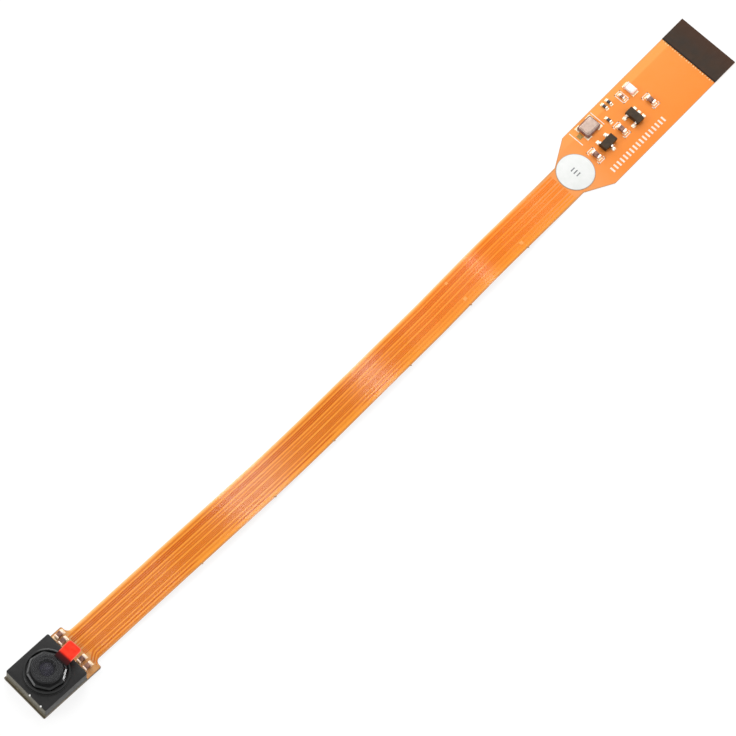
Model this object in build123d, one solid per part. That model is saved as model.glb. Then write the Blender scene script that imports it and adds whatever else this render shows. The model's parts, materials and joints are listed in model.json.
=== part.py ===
from build123d import *
import os
from math import atan2, radians, sin, cos, tan

# Camera module: a fixed-focus camera head on a long film circuit with a plug-in contact tail.
# Millimetres. The origin is on the optical axis, at the underside of the head's stiffener plate.
# +X runs from the head to the contact tail, +Z is the way the lens looks, +Y is to the left.

# Film circuit
FILM_THICK = 0.15
RIBBON_WIDTH = 6.25
CARRIER_LENGTH = 2.9
CARRIER_BACK = 0.3
CARRIER_MARGIN = 0.1
CARRIER_CORNER = 0.3
NOTCH_RADIUS = 0.8
FLARE_LENGTH = 4.9
TAIL_LENGTH = 30.6
TAIL_CORNER = 0.5

# Waves of the ribbon: flat run at the head, then run and underside height of each knee, then the run to the tail
HEAD_RUN = 2.8
WAVES = ((22.9, 1.1), (19.1, 0.3), (18.3, 1.0), (14.7, 0.5), (12.8, 0.95))
LAST_RUN = 17.2
TAIL_RUN = 4.2
KNEE_SHARE = 0.45

# Sideways bow of the ribbon, measured from the carrier's end
BOW_START = 21.2
BOW_LENGTH = 48.8
BOW_ANGLE = 3.0

# Copper traces: margins on the left and right, then copper and gap in turn as shares of the width between them
TRACE_HEIGHT = 0.03
TRACE_MARGINS = (0.5, 0.26)
TRACE_SHARES = (0.30, 0.24, 0.83, 0.27, 0.30, 0.16, 0.60, 0.27, 0.93, 0.22, 0.35, 0.25, 0.25, 0.25, 0.27)
TRACE_SET_IN = 0.35
JOG_TRACES = 3
JOG_LENGTH = 1.2
JOG_SHIFT = 0.9

# Contact tail
CONTACT_COUNT = 22
CONTACT_PITCH = 0.5
CONTACT_WIDTH = 0.3
CONTACT_LENGTH = 4.2
CONTACT_THICK = 0.035
TAIL_STIFFENER_LENGTH = 5.2
TAIL_STIFFENER_THICK = 0.15

# Head stiffener and lens holder
HEAD_SIDE = 8.7
STIFFENER_THICK = 0.3
HOLDER_HEIGHT = 2.9
HOLDER_WALL = 0.7
HOLDER_CORNER = 0.25
HOLDER_EDGE = 0.12
WEB_THICK = 0.4
WEB_WINDOW = (4.4, 3.4)
WEB_HEIGHT = 1.2
COLLAR_DIAMETER = 7.2
COLLAR_HEIGHT = 0.6
COLLAR_EDGE = 0.1
COUNTERBORE_DIAMETER = 6.5
COUNTERBORE_DEPTH = 0.5

# Image sensor, its bond wires and the filter above it
SENSOR_SIZE = (5.2, 4.6)
SENSOR_THICK = 0.3
PIXEL_AREA = (3.7, 2.8)
PIXEL_RISE = 0.02
WIRE_COUNT = 10
WIRE_PITCH = 0.4
WIRE_THICK = 0.05
WIRE_SET_IN = 0.2
WIRE_REACH = 0.45
WIRE_LOOP = 0.15
FILTER_SIDE = 5.4
FILTER_THICK = 0.3

# Lens barrel
THREAD_DIAMETER = 5.2
THREAD_CLEARANCE = 0.02
FOOT_GAP = 0.15
FOCUS_GAP = 0.15
FLANGE_FLATS = 5.8
FLANGE_SIDES = 8
FLANGE_TURN = 10.5
FLANGE_HEIGHT = 0.65
NOSE_DIAMETER = 4.9
NOSE_HEIGHT = 1.15
NOSE_EDGE = 0.22
FRONT_WALL = 0.5
DISH_DIAMETER = 3.7
DISH_DEPTH = 0.1
CONE_DIAMETER = 2.9
APERTURE_DIAMETER = 2.2
LENS_BORE = 4.2

# Lens stack, from the front wall down
LENS_CLEARANCE = 0.01
LENS_ZONE = 1.0
FRONT_LENS_RIM = 0.55
FRONT_LENS_DOME = 0.22
FRONT_LENS_HOLLOW = 0.12
STOP_THICK = 0.1
STOP_HOLE = 1.4
SECOND_LENS_RIM = 0.45
SECOND_LENS_HOLLOW = 0.05
SECOND_LENS_DOME = 0.12
SPACER_THICK = 0.25
SPACER_HOLE = 2.8
THIRD_LENS_RIM = 0.5
THIRD_LENS_HOLLOW = 0.1
RETAINER_THICK = 0.4
RETAINER_HOLE = 3.0

# Protective film on the lens and its pull tab
COVER_DIAMETER = 4.6
COVER_THICK = 0.06
TAB_START = 2.1
TAB_END = 5.65
TAB_WIDTH = 2.5
TAB_CORNER = 0.5
TAB_OFFSET = -0.75
TAB_TURN = 4

# Solder pads and two-ended chips: length, width, height and end length
PAD_THICK = 0.03
PAD_MARGIN = 0.05
PAD_TOE = 0.3
CHIP_STEP = 0.02
SMALL_CHIP = (1.0, 0.5, 0.4, 0.25)
HEAD_CHIP = (1.4, 0.8, 0.5, 0.3)
FLAT_CHIP = (1.0, 0.5, 0.3, 0.22)
LARGE_CHIP = (1.6, 0.8, 0.65, 0.35)
LIGHT_CHIP = (2.0, 1.25, 0.6, 0.35)

# Head chips: each one's distance from the carrier's end, and inset from its left or right edge
LEFT_CHIP_SPOTS = ((1.15, 0.75), (1.5, 1.9))
RIGHT_CHIP_SPOTS = ((1.55, 1.55), (1.4, 2.95))

# Tail parts: distance along the tail from the flare's start, and inset from the left edge or offset from the centre line
CRYSTAL_SIZE = (3.2, 2.5, 0.5)
CRYSTAL_LID = (2.9, 2.1, 0.2)
CRYSTAL_CORNER = 0.2
CRYSTAL_ALONG = 9.4
CRYSTAL_INSET = 1.85
CRYSTAL_PAD = (1.1, 0.9)
LIGHT_ALONG = 19.5
LIGHT_INSET = 2.2
LEFT_CAPACITOR_ALONG = 17.45
LEFT_CAPACITOR_INSET = 2.15
RESISTOR_SPOTS = ((15.2, 1.25), (14.1, 1.25), (12.7, 3.35))
CENTRE_OFFSET = -0.25
CENTRE_CAPACITORS_ALONG = (20.3, 12.9, 6.4)
FIVE_PIN_ALONG = 16.05
THREE_PIN_ALONG = 9.35

# Moulded regulators with bent leads
PACKAGE_LENGTH = 2.9
PACKAGE_WIDTH = 1.5
PACKAGE_HEIGHT = 0.95
PACKAGE_LIFT = 0.1
PACKAGE_DRAFT = 7
LEAD_PITCH = 0.95
LEAD_WIDTH = 0.4
LEAD_THICK = 0.13
LEAD_REACH = 0.65
LEAD_FOOT = 0.35
LEAD_SHOULDER = 0.12
LEAD_ROOT = 0.2

# Round label over the flare
LABEL_DIAMETER = 6.5
LABEL_THICK = 0.08
LABEL_ALONG = 1.8
LABEL_OFFSET = 0.2
LABEL_GAP = 0.2

# Stations along the centre line and heights that follow from the sizes above
tail_width = (CONTACT_COUNT + 1) * CONTACT_PITCH
carrier_width = HEAD_SIDE + 2 * CARRIER_MARGIN
carrier_reach = CARRIER_BACK + HEAD_SIDE + CARRIER_LENGTH
carrier_middle = (CARRIER_LENGTH - CARRIER_BACK) / 2
ribbon_start = HEAD_SIDE / 2 + CARRIER_LENGTH
ribbon_length = HEAD_RUN + sum(run for run, height in WAVES) + LAST_RUN + TAIL_RUN
flare_start = ribbon_start + ribbon_length
tail_reach = FLARE_LENGTH + TAIL_LENGTH
bow_start = ribbon_start + BOW_START
bow_end = bow_start + BOW_LENGTH
bow_radius = BOW_LENGTH / radians(BOW_ANGLE)
head_top = STIFFENER_THICK + FILM_THICK
tail_top = FILM_THICK
holder_top = head_top + HOLDER_HEIGHT
web_foot = head_top + WEB_HEIGHT
web_top = web_foot + WEB_THICK
collar_top = holder_top + COLLAR_HEIGHT
counterbore_floor = collar_top - COUNTERBORE_DEPTH
barrel_foot = web_top + FOOT_GAP
flange_foot = counterbore_floor + FOCUS_GAP
nose_foot = flange_foot + FLANGE_HEIGHT
nose_top = nose_foot + NOSE_HEIGHT
lens_seat = nose_top - FRONT_WALL


def plan_point(station, offset):
    """Plan position of a point to the left of the bowed centre line."""
    turn = min(max(station - bow_start, 0), BOW_LENGTH) / bow_radius
    before = min(station, bow_start)
    after = max(station - bow_end, 0)
    x = before + bow_radius * sin(turn) + after * cos(turn) - offset * sin(turn)
    y = bow_radius * (1 - cos(turn)) + after * sin(turn) + offset * cos(turn)
    return x, y


def rail(offset, first, last):
    """Edge line beside the centre line from one station to another: straight, bowed, straight."""
    knots = [first]
    knots += [knot for knot in (bow_start, bow_end) if first < knot < last]
    knots.append(last)
    pieces = []
    for start, end in zip(knots, knots[1:]):
        points = [plan_point(station, offset) for station in (start, (start + end) / 2, end)]
        bowed = bow_start <= start and end <= bow_end
        pieces.append(ThreePointArc(*points) if bowed else Line(points[0], points[2]))
    return pieces


def strip(right, left, first, last):
    """Flat face that follows the centre line between two offsets and two stations."""
    ends = [Line(plan_point(station, right), plan_point(station, left)) for station in (first, last)]
    return make_face(rail(right, first, last) + rail(left, first, last) + ends)


def prism(face, bottom, top):
    """Solid between two heights over a flat face."""
    return Pos(0, 0, bottom) * extrude(face, top - bottom, dir=(0, 0, 1))


def block(x_size, y_size, bottom, top, x=0, y=0):
    """Upright block between two heights, centred in plan."""
    return Pos(x, y, (bottom + top) / 2) * Box(x_size, y_size, top - bottom)


def post(diameter, bottom, top):
    """Upright cylinder on the optical axis between two heights."""
    return Pos(0, 0, (bottom + top) / 2) * Cylinder(diameter / 2, top - bottom)


def ring(outer, hole, bottom, top):
    """Washer on the optical axis between two heights."""
    return post(outer, bottom, top) - post(hole, bottom, top)


tail_frame = Pos(*plan_point(flare_start, 0), 0) * Rot(0, 0, BOW_ANGLE)


def tail_spot(along, offset, level=tail_top):
    """Place on the tail: distance from the flare's start, offset to the left and height."""
    return tail_frame * Pos(along, offset, level)


def left_offset(inset):
    """Offset of a place that is measured in from the tail's left edge."""
    return tail_width / 2 - inset


def wave_line(level):
    """Side view of the film's underside, raised by a height, with an arc at each knee."""
    knees = [(ribbon_start + HEAD_RUN, STIFFENER_THICK)]
    for run, height in WAVES:
        knees.append((knees[-1][0] + run, height))
    knees.append((knees[-1][0] + LAST_RUN, 0))
    end = plan_point(flare_start + tail_reach, -tail_width)[0]
    points = [(-HEAD_SIDE, STIFFENER_THICK)] + knees + [(end, 0)]
    runs = [HEAD_RUN] + [run for run, height in WAVES] + [LAST_RUN, TAIL_RUN]
    slopes = [atan2(b[1] - a[1], b[0] - a[0]) for a, b in zip(points, points[1:])]
    radii = []
    for index in range(len(knees)):
        turn = abs(slopes[index + 1] - slopes[index])
        radii.append(KNEE_SHARE * min(runs[index], runs[index + 1]) / tan(turn / 2))
    return Pos(0, level) * FilletPolyline(*points, radius=radii)


def wave_slab(bottom, top):
    """Wavy sheet between two heights above the film's underside, wider than the whole circuit."""
    lower = wave_line(bottom)
    upper = wave_line(top)
    ends = [Line(lower @ end, upper @ end) for end in (0, 1)]
    section = Plane.XZ * make_face(lower.edges() + upper.edges() + ends)
    half = plan_point(flare_start + tail_reach, tail_width)[1] + HEAD_SIDE
    return extrude(section, half, both=True)


def film_outline():
    """Plan of the whole film: carrier, ribbon, flare and tail."""
    carrier = Pos(carrier_middle, 0) * Rectangle(carrier_reach, carrier_width)
    ribbon = strip(-RIBBON_WIDTH / 2, RIBBON_WIDTH / 2, 0, flare_start)
    half = tail_width / 2
    left_side = [(0, RIBBON_WIDTH / 2), (FLARE_LENGTH, half), (tail_reach, half)]
    right_side = [(x, -y) for x, y in reversed(left_side)]
    tail = tail_frame * make_face(Polyline(*left_side, *right_side, close=True))
    outline = carrier + ribbon + tail
    shoulder = (carrier_width - RIBBON_WIDTH) / 2
    corner = min(CARRIER_CORNER, shoulder / 4)
    notch = min(NOTCH_RADIUS, shoulder * 2 / 3)
    rounds = [((ribbon_start, carrier_width / 2), corner), ((ribbon_start, RIBBON_WIDTH / 2), notch)]
    rounds += [((x, -y), radius) for (x, y), radius in rounds]
    for side in (-half, half):
        rounds.append((plan_point(flare_start + FLARE_LENGTH, side), TAIL_CORNER))
    for (x, y), radius in rounds:
        nearest = outline.vertices().sort_by_distance((x, y, 0))[0]
        outline = fillet(nearest, radius)
    return outline


def contact_places():
    """Centre of each contact finger at the tail's end, on the film's underside."""
    first = -(CONTACT_COUNT - 1) / 2 * CONTACT_PITCH
    along = tail_reach - CONTACT_LENGTH / 2
    return [tail_spot(along, first + index * CONTACT_PITCH, 0) for index in range(CONTACT_COUNT)]


def make_contact_fingers():
    """Gold fingers, flush in the underside of the tail's end."""
    finger = block(CONTACT_LENGTH, CONTACT_WIDTH, 0, CONTACT_THICK)
    return [place * finger for place in contact_places()]


def make_film_circuit(fingers):
    """Amber film with the seats of the contact fingers in its underside."""
    film = wave_slab(0, FILM_THICK) & prism(film_outline(), -1, HOLDER_HEIGHT)
    for finger in fingers:
        film -= finger
    return film


def trace_bands():
    """Right and left offset of each trace across the ribbon."""
    scale = (RIBBON_WIDTH - sum(TRACE_MARGINS)) / sum(TRACE_SHARES)
    left = RIBBON_WIDTH / 2 - TRACE_MARGINS[0]
    bands = []
    for index, share in enumerate(TRACE_SHARES):
        right = left - share * scale
        if index % 2 == 0:
            bands.append((right, left))
        left = right
    return bands


def make_copper_traces():
    """Traces that show through the film's cover, from the carrier to the label."""
    sheet = wave_slab(FILM_THICK, FILM_THICK + TRACE_HEIGHT)
    first = ribbon_start - TRACE_SET_IN
    last = flare_start + LABEL_ALONG - LABEL_DIAMETER / 2 - LABEL_GAP
    bands = trace_bands()
    traces = []
    for index, (right, left) in enumerate(bands):
        jogged = index >= len(bands) - JOG_TRACES
        start = first + JOG_LENGTH if jogged else first
        outline = strip(right, left, start, last)
        if jogged:
            far = [(start, right), (start, left)]
            near = [(first, left - JOG_SHIFT), (first, right - JOG_SHIFT)]
            outline += make_face(Polyline(*far, *near, close=True))
        traces.append(sheet & prism(outline, -1, HOLDER_HEIGHT))
    return traces


def make_head_stiffener():
    """Plate under the head and the carrier."""
    plate = Pos(carrier_middle, 0) * RectangleRounded(carrier_reach, carrier_width, HOLDER_CORNER)
    return prism(plate, 0, STIFFENER_THICK)


def make_lens_holder():
    """Moulded square housing: sensor room, filter web, threaded bore and collar."""
    body = prism(RectangleRounded(HEAD_SIDE, HEAD_SIDE, HOLDER_CORNER), head_top, holder_top)
    body = chamfer(body.faces().sort_by(Axis.Z)[-1].edges(), HOLDER_EDGE)
    collar = post(COLLAR_DIAMETER, holder_top, collar_top)
    collar = chamfer(collar.edges().sort_by(Axis.Z)[-1], COLLAR_EDGE)
    room_side = HEAD_SIDE - 2 * HOLDER_WALL
    room = prism(RectangleRounded(room_side, room_side, HOLDER_CORNER), head_top, web_foot)
    window = block(*WEB_WINDOW, web_foot, web_top)
    bore = post(THREAD_DIAMETER + 2 * THREAD_CLEARANCE, web_top, collar_top)
    counterbore = post(COUNTERBORE_DIAMETER, counterbore_floor, collar_top)
    return body + collar - room - window - bore - counterbore


def make_image_sensor():
    """Bare sensor die with its raised pixel area."""
    die = block(*SENSOR_SIZE, head_top, head_top + SENSOR_THICK)
    return die + block(*PIXEL_AREA, head_top + SENSOR_THICK, head_top + SENSOR_THICK + PIXEL_RISE)


def make_bond_wires():
    """Gold wire loops from the die's two long sides down to the film."""
    die_top = head_top + SENSOR_THICK
    edge = SENSOR_SIZE[1] / 2
    inner = edge - WIRE_SET_IN
    outer = edge + WIRE_REACH
    peak = die_top + WIRE_LOOP
    path = [(inner, die_top), (inner, peak), (outer, peak - WIRE_THICK), (outer, head_top)]
    back = [(outer - WIRE_THICK, head_top), (outer - WIRE_THICK, peak - 2 * WIRE_THICK)]
    back += [(inner + WIRE_THICK, peak - WIRE_THICK), (inner + WIRE_THICK, die_top)]
    loop = extrude(Plane.YZ * make_face(Polyline(*path, *back, close=True)), WIRE_THICK / 2, both=True)
    first = -(WIRE_COUNT - 1) / 2 * WIRE_PITCH
    row = [Pos(first + index * WIRE_PITCH, 0, 0) * loop for index in range(WIRE_COUNT)]
    return row + [Rot(0, 0, 180) * wire for wire in row]


def make_ir_filter():
    """Glass plate bonded to the underside of the holder's web."""
    return block(FILTER_SIDE, FILTER_SIDE, web_foot - FILTER_THICK, web_foot)


def make_lens_barrel():
    """Turned barrel: threaded body, eight-sided flange and round nose with a dished front."""
    body = post(THREAD_DIAMETER, barrel_foot, flange_foot)
    outline = RegularPolygon(FLANGE_FLATS / 2, FLANGE_SIDES, major_radius=False, rotation=FLANGE_TURN)
    flange = prism(outline, flange_foot, nose_foot)
    nose = post(NOSE_DIAMETER, nose_foot, nose_top)
    nose = chamfer(nose.edges().sort_by(Axis.Z)[-1], NOSE_EDGE)
    dish = post(DISH_DIAMETER, nose_top - DISH_DEPTH, nose_top)
    cone_depth = FRONT_WALL - DISH_DEPTH
    cone = Pos(0, 0, lens_seat + cone_depth / 2) * Cone(APERTURE_DIAMETER / 2, CONE_DIAMETER / 2, cone_depth)
    return body + flange + nose - dish - cone - post(LENS_BORE, barrel_foot, lens_seat)


def make_lens(top, rim, top_sag, bottom_sag):
    """Moulded lens: a flat rim that fits the barrel and a middle that bulges by the two sags."""
    bottom = top - rim
    edge = LENS_BORE / 2 - LENS_CLEARANCE
    outline = [Line((LENS_ZONE, top), (edge, top)), Line((edge, top), (edge, bottom))]
    outline.append(Line((edge, bottom), (LENS_ZONE, bottom)))
    outline.append(TangentArc((0, top + top_sag), (LENS_ZONE, top), tangent=(1, 0)))
    outline.append(TangentArc((0, bottom - bottom_sag), (LENS_ZONE, bottom), tangent=(1, 0)))
    outline.append(Line((0, bottom - bottom_sag), (0, top + top_sag)))
    return revolve(Plane.XZ * make_face(outline), Axis.Z)


def make_lens_stack():
    """Lenses, stop, spacer and retainer, each seated on the one above it."""
    edge = LENS_BORE - 2 * LENS_CLEARANCE
    pieces = {}
    level = lens_seat
    pieces["front_lens"] = make_lens(level, FRONT_LENS_RIM, FRONT_LENS_DOME, -FRONT_LENS_HOLLOW)
    level -= FRONT_LENS_RIM
    pieces["aperture_stop"] = ring(edge, STOP_HOLE, level - STOP_THICK, level)
    level -= STOP_THICK
    pieces["second_lens"] = make_lens(level, SECOND_LENS_RIM, -SECOND_LENS_HOLLOW, SECOND_LENS_DOME)
    level -= SECOND_LENS_RIM
    pieces["lens_spacer"] = ring(edge, SPACER_HOLE, level - SPACER_THICK, level)
    level -= SPACER_THICK
    pieces["third_lens"] = make_lens(level, THIRD_LENS_RIM, -THIRD_LENS_HOLLOW, THIRD_LENS_HOLLOW)
    level -= THIRD_LENS_RIM
    pieces["lens_retainer"] = ring(edge, RETAINER_HOLE, level - RETAINER_THICK, level)
    return pieces


def make_lens_cover():
    """Clear protective film on the nose, with the tongue that carries the pull tab."""
    disc = Circle(COVER_DIAMETER / 2)
    tongue = Pos(TAB_END / 2, TAB_OFFSET) * Rectangle(TAB_END, TAB_WIDTH)
    return Rot(0, 0, TAB_TURN) * prism(disc + round_tab_end(tongue), nose_top, nose_top + COVER_THICK)


def round_tab_end(face):
    """Round the two far corners of the tongue or the tab."""
    return fillet(face.vertices().group_by(Axis.X)[-1], min(TAB_CORNER, TAB_WIDTH / 3))


def make_pull_tab():
    """Red tab on top of the protective film's tongue."""
    face = Pos((TAB_START + TAB_END) / 2, TAB_OFFSET) * Rectangle(TAB_END - TAB_START, TAB_WIDTH)
    tab = prism(round_tab_end(face), nose_top + COVER_THICK, nose_top + 2 * COVER_THICK)
    return Rot(0, 0, TAB_TURN) * tab


def make_chip(size):
    """Two-ended chip along X on its own pads: ceramic body, two metal ends and two solder pads."""
    length, width, height, end = size
    foot = PAD_THICK
    body = block(length - 2 * end, width - 2 * CHIP_STEP, foot + CHIP_STEP, foot + height - CHIP_STEP)
    ends = []
    pads = []
    for side in (-1, 1):
        ends.append(block(end, width, foot, foot + height, side * (length - end) / 2))
        pad = block(end + PAD_TOE, width + 2 * PAD_MARGIN, 0, PAD_THICK)
        pads.append(Pos(side * ((length + PAD_TOE - end) / 2), 0, 0) * pad)
    return body, ends, pads


def place_chips(size, places):
    """Copies of one chip at several places: bodies, ends and pads."""
    body, ends, pads = make_chip(size)
    bodies = [place * body for place in places]
    all_ends = [place * end for place in places for end in ends]
    all_pads = [place * pad for place in places for pad in pads]
    return bodies, all_ends, all_pads


def make_lead():
    """Bent lead of a moulded package, from its root inside the body to its foot on the pad, along +X."""
    wall = PACKAGE_WIDTH / 2
    toe = wall + LEAD_REACH
    heel = toe - LEAD_FOOT
    root = wall - LEAD_ROOT
    knee = wall + LEAD_SHOULDER
    middle = PACKAGE_LIFT + (PACKAGE_HEIGHT - LEAD_THICK) / 2
    under = [(toe, 0), (heel, 0), (knee, middle), (root, middle)]
    over = [(root, middle + LEAD_THICK), (knee + LEAD_THICK, middle + LEAD_THICK)]
    over += [(heel + LEAD_THICK / 2, LEAD_THICK), (toe, LEAD_THICK)]
    side_view = Plane.XZ * make_face(Polyline(*under, *over, close=True))
    return Pos(0, 0, PAD_THICK) * extrude(side_view, LEAD_WIDTH / 2, both=True)


def make_package(front_rows, back_rows):
    """Moulded regulator, long side along Y: body, leads in the given rows, and pads."""
    half = PACKAGE_HEIGHT / 2
    parting = PAD_THICK + PACKAGE_LIFT + half
    plan = Pos(0, 0, parting) * Rectangle(PACKAGE_WIDTH, PACKAGE_LENGTH)
    body = extrude(plan, half, dir=(0, 0, 1), taper=PACKAGE_DRAFT)
    body += extrude(plan, half, dir=(0, 0, -1), taper=PACKAGE_DRAFT)
    lead = make_lead()
    foot = LEAD_FOOT + PAD_TOE / 2
    pad_middle = PACKAGE_WIDTH / 2 + LEAD_REACH - LEAD_FOOT + foot / 2
    pad = block(foot, LEAD_WIDTH + 2 * PAD_MARGIN, 0, PAD_THICK, pad_middle)
    places = [Pos(0, row * LEAD_PITCH, 0) for row in front_rows]
    places += [Rot(0, 0, 180) * Pos(0, row * LEAD_PITCH, 0) for row in back_rows]
    leads = [place * lead for place in places]
    pads = [place * pad for place in places]
    for placed in leads:
        body -= placed
    return body, leads, pads


def place_package(place, front_rows, back_rows):
    """Regulator at its place on the tail."""
    body, leads, pads = make_package(front_rows, back_rows)
    return place * body, [place * lead for lead in leads], [place * pad for pad in pads]


def make_crystal():
    """Crystal at its place on the tail: ceramic case, metal lid and four pads."""
    length, width, height = CRYSTAL_SIZE
    lid_length, lid_width, lid_height = CRYSTAL_LID
    place = tail_spot(CRYSTAL_ALONG, left_offset(CRYSTAL_INSET))
    case_top = PAD_THICK + height
    case = prism(RectangleRounded(length, width, CRYSTAL_CORNER), PAD_THICK, case_top)
    lid = prism(RectangleRounded(lid_length, lid_width, CRYSTAL_CORNER), case_top, case_top + lid_height)
    x = length / 2 - CRYSTAL_PAD[0] / 4
    y = width / 2 - CRYSTAL_PAD[1] / 4
    pads = [block(*CRYSTAL_PAD, 0, PAD_THICK, x * i, y * j) for i in (-1, 1) for j in (-1, 1)]
    return place * case, place * lid, [place * pad for pad in pads]


def make_label():
    """Round paper label, centred over the flare."""
    return tail_spot(LABEL_ALONG, LABEL_OFFSET) * prism(Circle(LABEL_DIAMETER / 2), 0, LABEL_THICK)


def make_contact_stiffener():
    """Stiffener strip on top of the contact end."""
    place = tail_spot(tail_reach - TAIL_STIFFENER_LENGTH / 2, 0)
    return place * block(TAIL_STIFFENER_LENGTH, tail_width, 0, TAIL_STIFFENER_THICK)


def head_chip_places():
    """Two chips on each side of the carrier, in line with the ribbon."""
    half = carrier_width / 2
    spots = [(distance, half - inset) for distance, inset in LEFT_CHIP_SPOTS]
    spots += [(distance, inset - half) for distance, inset in RIGHT_CHIP_SPOTS]
    return [Pos(ribbon_start - distance, offset, head_top) for distance, offset in spots]


def across(along, offset):
    """Place on the tail for a chip that lies across it."""
    return tail_spot(along, offset) * Rot(0, 0, 90)


nodes = {}

# Film circuit and its stiffeners
nodes["contact_fingers"] = make_contact_fingers()
nodes["film_circuit"] = make_film_circuit(nodes["contact_fingers"])
nodes["copper_traces"] = make_copper_traces()
nodes["head_stiffener"] = make_head_stiffener()
nodes["contact_stiffener"] = make_contact_stiffener()

# Camera head
nodes["lens_holder"] = make_lens_holder()
nodes["image_sensor"] = make_image_sensor()
nodes["bond_wires"] = make_bond_wires()
nodes["ir_filter"] = make_ir_filter()
nodes["lens_barrel"] = make_lens_barrel()
nodes.update(make_lens_stack())
nodes["lens_cover_film"] = make_lens_cover()
nodes["pull_tab"] = make_pull_tab()
bodies, ends, pads = place_chips(HEAD_CHIP, head_chip_places())
nodes["head_capacitor_bodies"] = bodies
nodes["head_capacitor_ends"] = ends
nodes["head_solder_pads"] = pads

# Parts on the tail
tail_pads = []
large_places = [across(along, CENTRE_OFFSET) for along in CENTRE_CAPACITORS_ALONG]
bodies, ends, pads = place_chips(LARGE_CHIP, large_places)
nodes["tail_capacitor_bodies"] = bodies
nodes["tail_capacitor_ends"] = ends
tail_pads += pads
left_place = across(LEFT_CAPACITOR_ALONG, left_offset(LEFT_CAPACITOR_INSET))
bodies, ends, pads = place_chips(SMALL_CHIP, [left_place])
nodes["left_capacitor_body"] = bodies
nodes["left_capacitor_ends"] = ends
tail_pads += pads
resistor_places = [across(along, left_offset(inset)) for along, inset in RESISTOR_SPOTS]
bodies, ends, pads = place_chips(FLAT_CHIP, resistor_places)
nodes["resistor_bodies"] = bodies
nodes["resistor_ends"] = ends
tail_pads += pads
bodies, ends, pads = place_chips(LIGHT_CHIP, [across(LIGHT_ALONG, left_offset(LIGHT_INSET))])
nodes["light_chip_body"] = bodies
nodes["light_chip_ends"] = ends
tail_pads += pads
five_pin_place = tail_spot(FIVE_PIN_ALONG, CENTRE_OFFSET)
body, leads, pads = place_package(five_pin_place, (-1, 0, 1), (-1, 1))
nodes["five_pin_regulator_body"] = body
nodes["five_pin_regulator_leads"] = leads
tail_pads += pads
body, leads, pads = place_package(across(THREE_PIN_ALONG, CENTRE_OFFSET), (-1, 1), (0,))
nodes["three_pin_regulator_body"] = body
nodes["three_pin_regulator_leads"] = leads
tail_pads += pads
case, lid, pads = make_crystal()
nodes["crystal_case"] = case
nodes["crystal_lid"] = lid
tail_pads += pads
nodes["tail_solder_pads"] = tail_pads
nodes["round_label"] = make_label()

os.makedirs("parts", exist_ok=True)
for name, shape in nodes.items():
    solids = shape if isinstance(shape, list) else [shape]
    solids = [solid for piece in solids for solid in piece.solids()]
    whole = solids[0] if len(solids) == 1 else Compound(solids)
    export_step(whole, f"parts/{name}.step")
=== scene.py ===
import json
from math import atan2, cos, pi, radians, sin

import bmesh
import bpy
from mathutils import Matrix, Vector


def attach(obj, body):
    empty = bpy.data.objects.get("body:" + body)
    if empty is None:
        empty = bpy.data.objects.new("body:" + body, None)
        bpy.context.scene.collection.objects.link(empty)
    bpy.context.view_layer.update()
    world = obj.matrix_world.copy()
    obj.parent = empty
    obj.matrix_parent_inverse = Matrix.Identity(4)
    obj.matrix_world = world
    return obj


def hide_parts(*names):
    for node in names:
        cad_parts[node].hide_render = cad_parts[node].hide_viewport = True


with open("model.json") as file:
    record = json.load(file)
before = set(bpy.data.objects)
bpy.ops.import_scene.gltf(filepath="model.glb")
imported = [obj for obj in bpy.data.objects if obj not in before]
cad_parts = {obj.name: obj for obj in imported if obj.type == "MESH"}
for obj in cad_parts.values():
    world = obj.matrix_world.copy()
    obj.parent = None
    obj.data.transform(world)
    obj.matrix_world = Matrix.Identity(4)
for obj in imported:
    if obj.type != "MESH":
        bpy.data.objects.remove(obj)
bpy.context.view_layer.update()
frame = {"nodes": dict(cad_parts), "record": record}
nodes = frame["nodes"]

# Lengths are in millimetres, as in the solid model, and become metres where a mesh is made
MM = 0.001

# Plan of the film circuit: stations along its bowed centre line and half widths
HEAD_HALF = 4.35
CARRIER_HALF = 4.45
CARRIER_BACK = -4.65
CARRIER_END = 7.25
CARRIER_CORNER = 0.3
NOTCH_RADIUS = 0.8
RIBBON_HALF = 3.125
FLARE_START = 119.25
FLARE_LENGTH = 4.9
TAIL_HALF = 5.75
TAIL_REACH = 35.5
BOW_START = 28.45
BOW_LENGTH = 48.8
BOW_ANGLE = radians(3.0)

# Side view of the film: its thickness, and the knees of its waves
# Each knee has its position, its height and the share of the shorter run that is bent
FILM_THICK = 0.15
HEAD_RUN = 2.8
TAIL_RUN = 4.2
KNEES = (
    (10.05, 0.3, 0.45),
    (32.95, 1.1, 0.45),
    (52.05, 0.3, 0.45),
    (70.35, 1.0, 0.45),
    (85.05, 0.38, 0.06),
    (98.8, 1.08, 0.28),
    (115.05, 0.0, 0.45),
)
FINGER_PROUD = 0.008

# Traces across the ribbon: left and right side of each band, number of lines in it and its darkness
TRACE_BANDS = (
    (2.62, 2.33, 1, 0.6),
    (2.08, 1.26, 3, 1.0),
    (0.98, 0.69, 1, 0.7),
    (0.52, -0.07, 2, 0.75),
    (-0.35, -1.27, 4, 0.8),
    (-1.5, -1.84, 1, 0.75),
    (-2.1, -2.34, 1, 0.95),
    (-2.6, -2.86, 1, 0.55),
)
LINE_GAP = 0.05
TRACE_RISE = 0.03
TRACE_SLOPE = 0.02
TRACE_START = 6.9
TRACE_END = 117.6
JOGGED_BANDS = 3
JOG_LENGTH = 1.2
JOG_SHIFT = 0.9

# Rows of points along the film, and how far thin pieces sink into the film that they lie on
CARRIER_ROWS = 24
CORNER_STEPS = 6
NOTCH_STEPS = 8
RIBBON_ROWS = 230
FLARE_ROWS = 12
TAIL_ROWS = 40
FILM_SHARES = (0.18, 0.36, 0.54, 0.72, 0.86, 0.93, 0.97, 1)
FILM_SINK = 0.01
INK_SINK = 0.005

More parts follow.
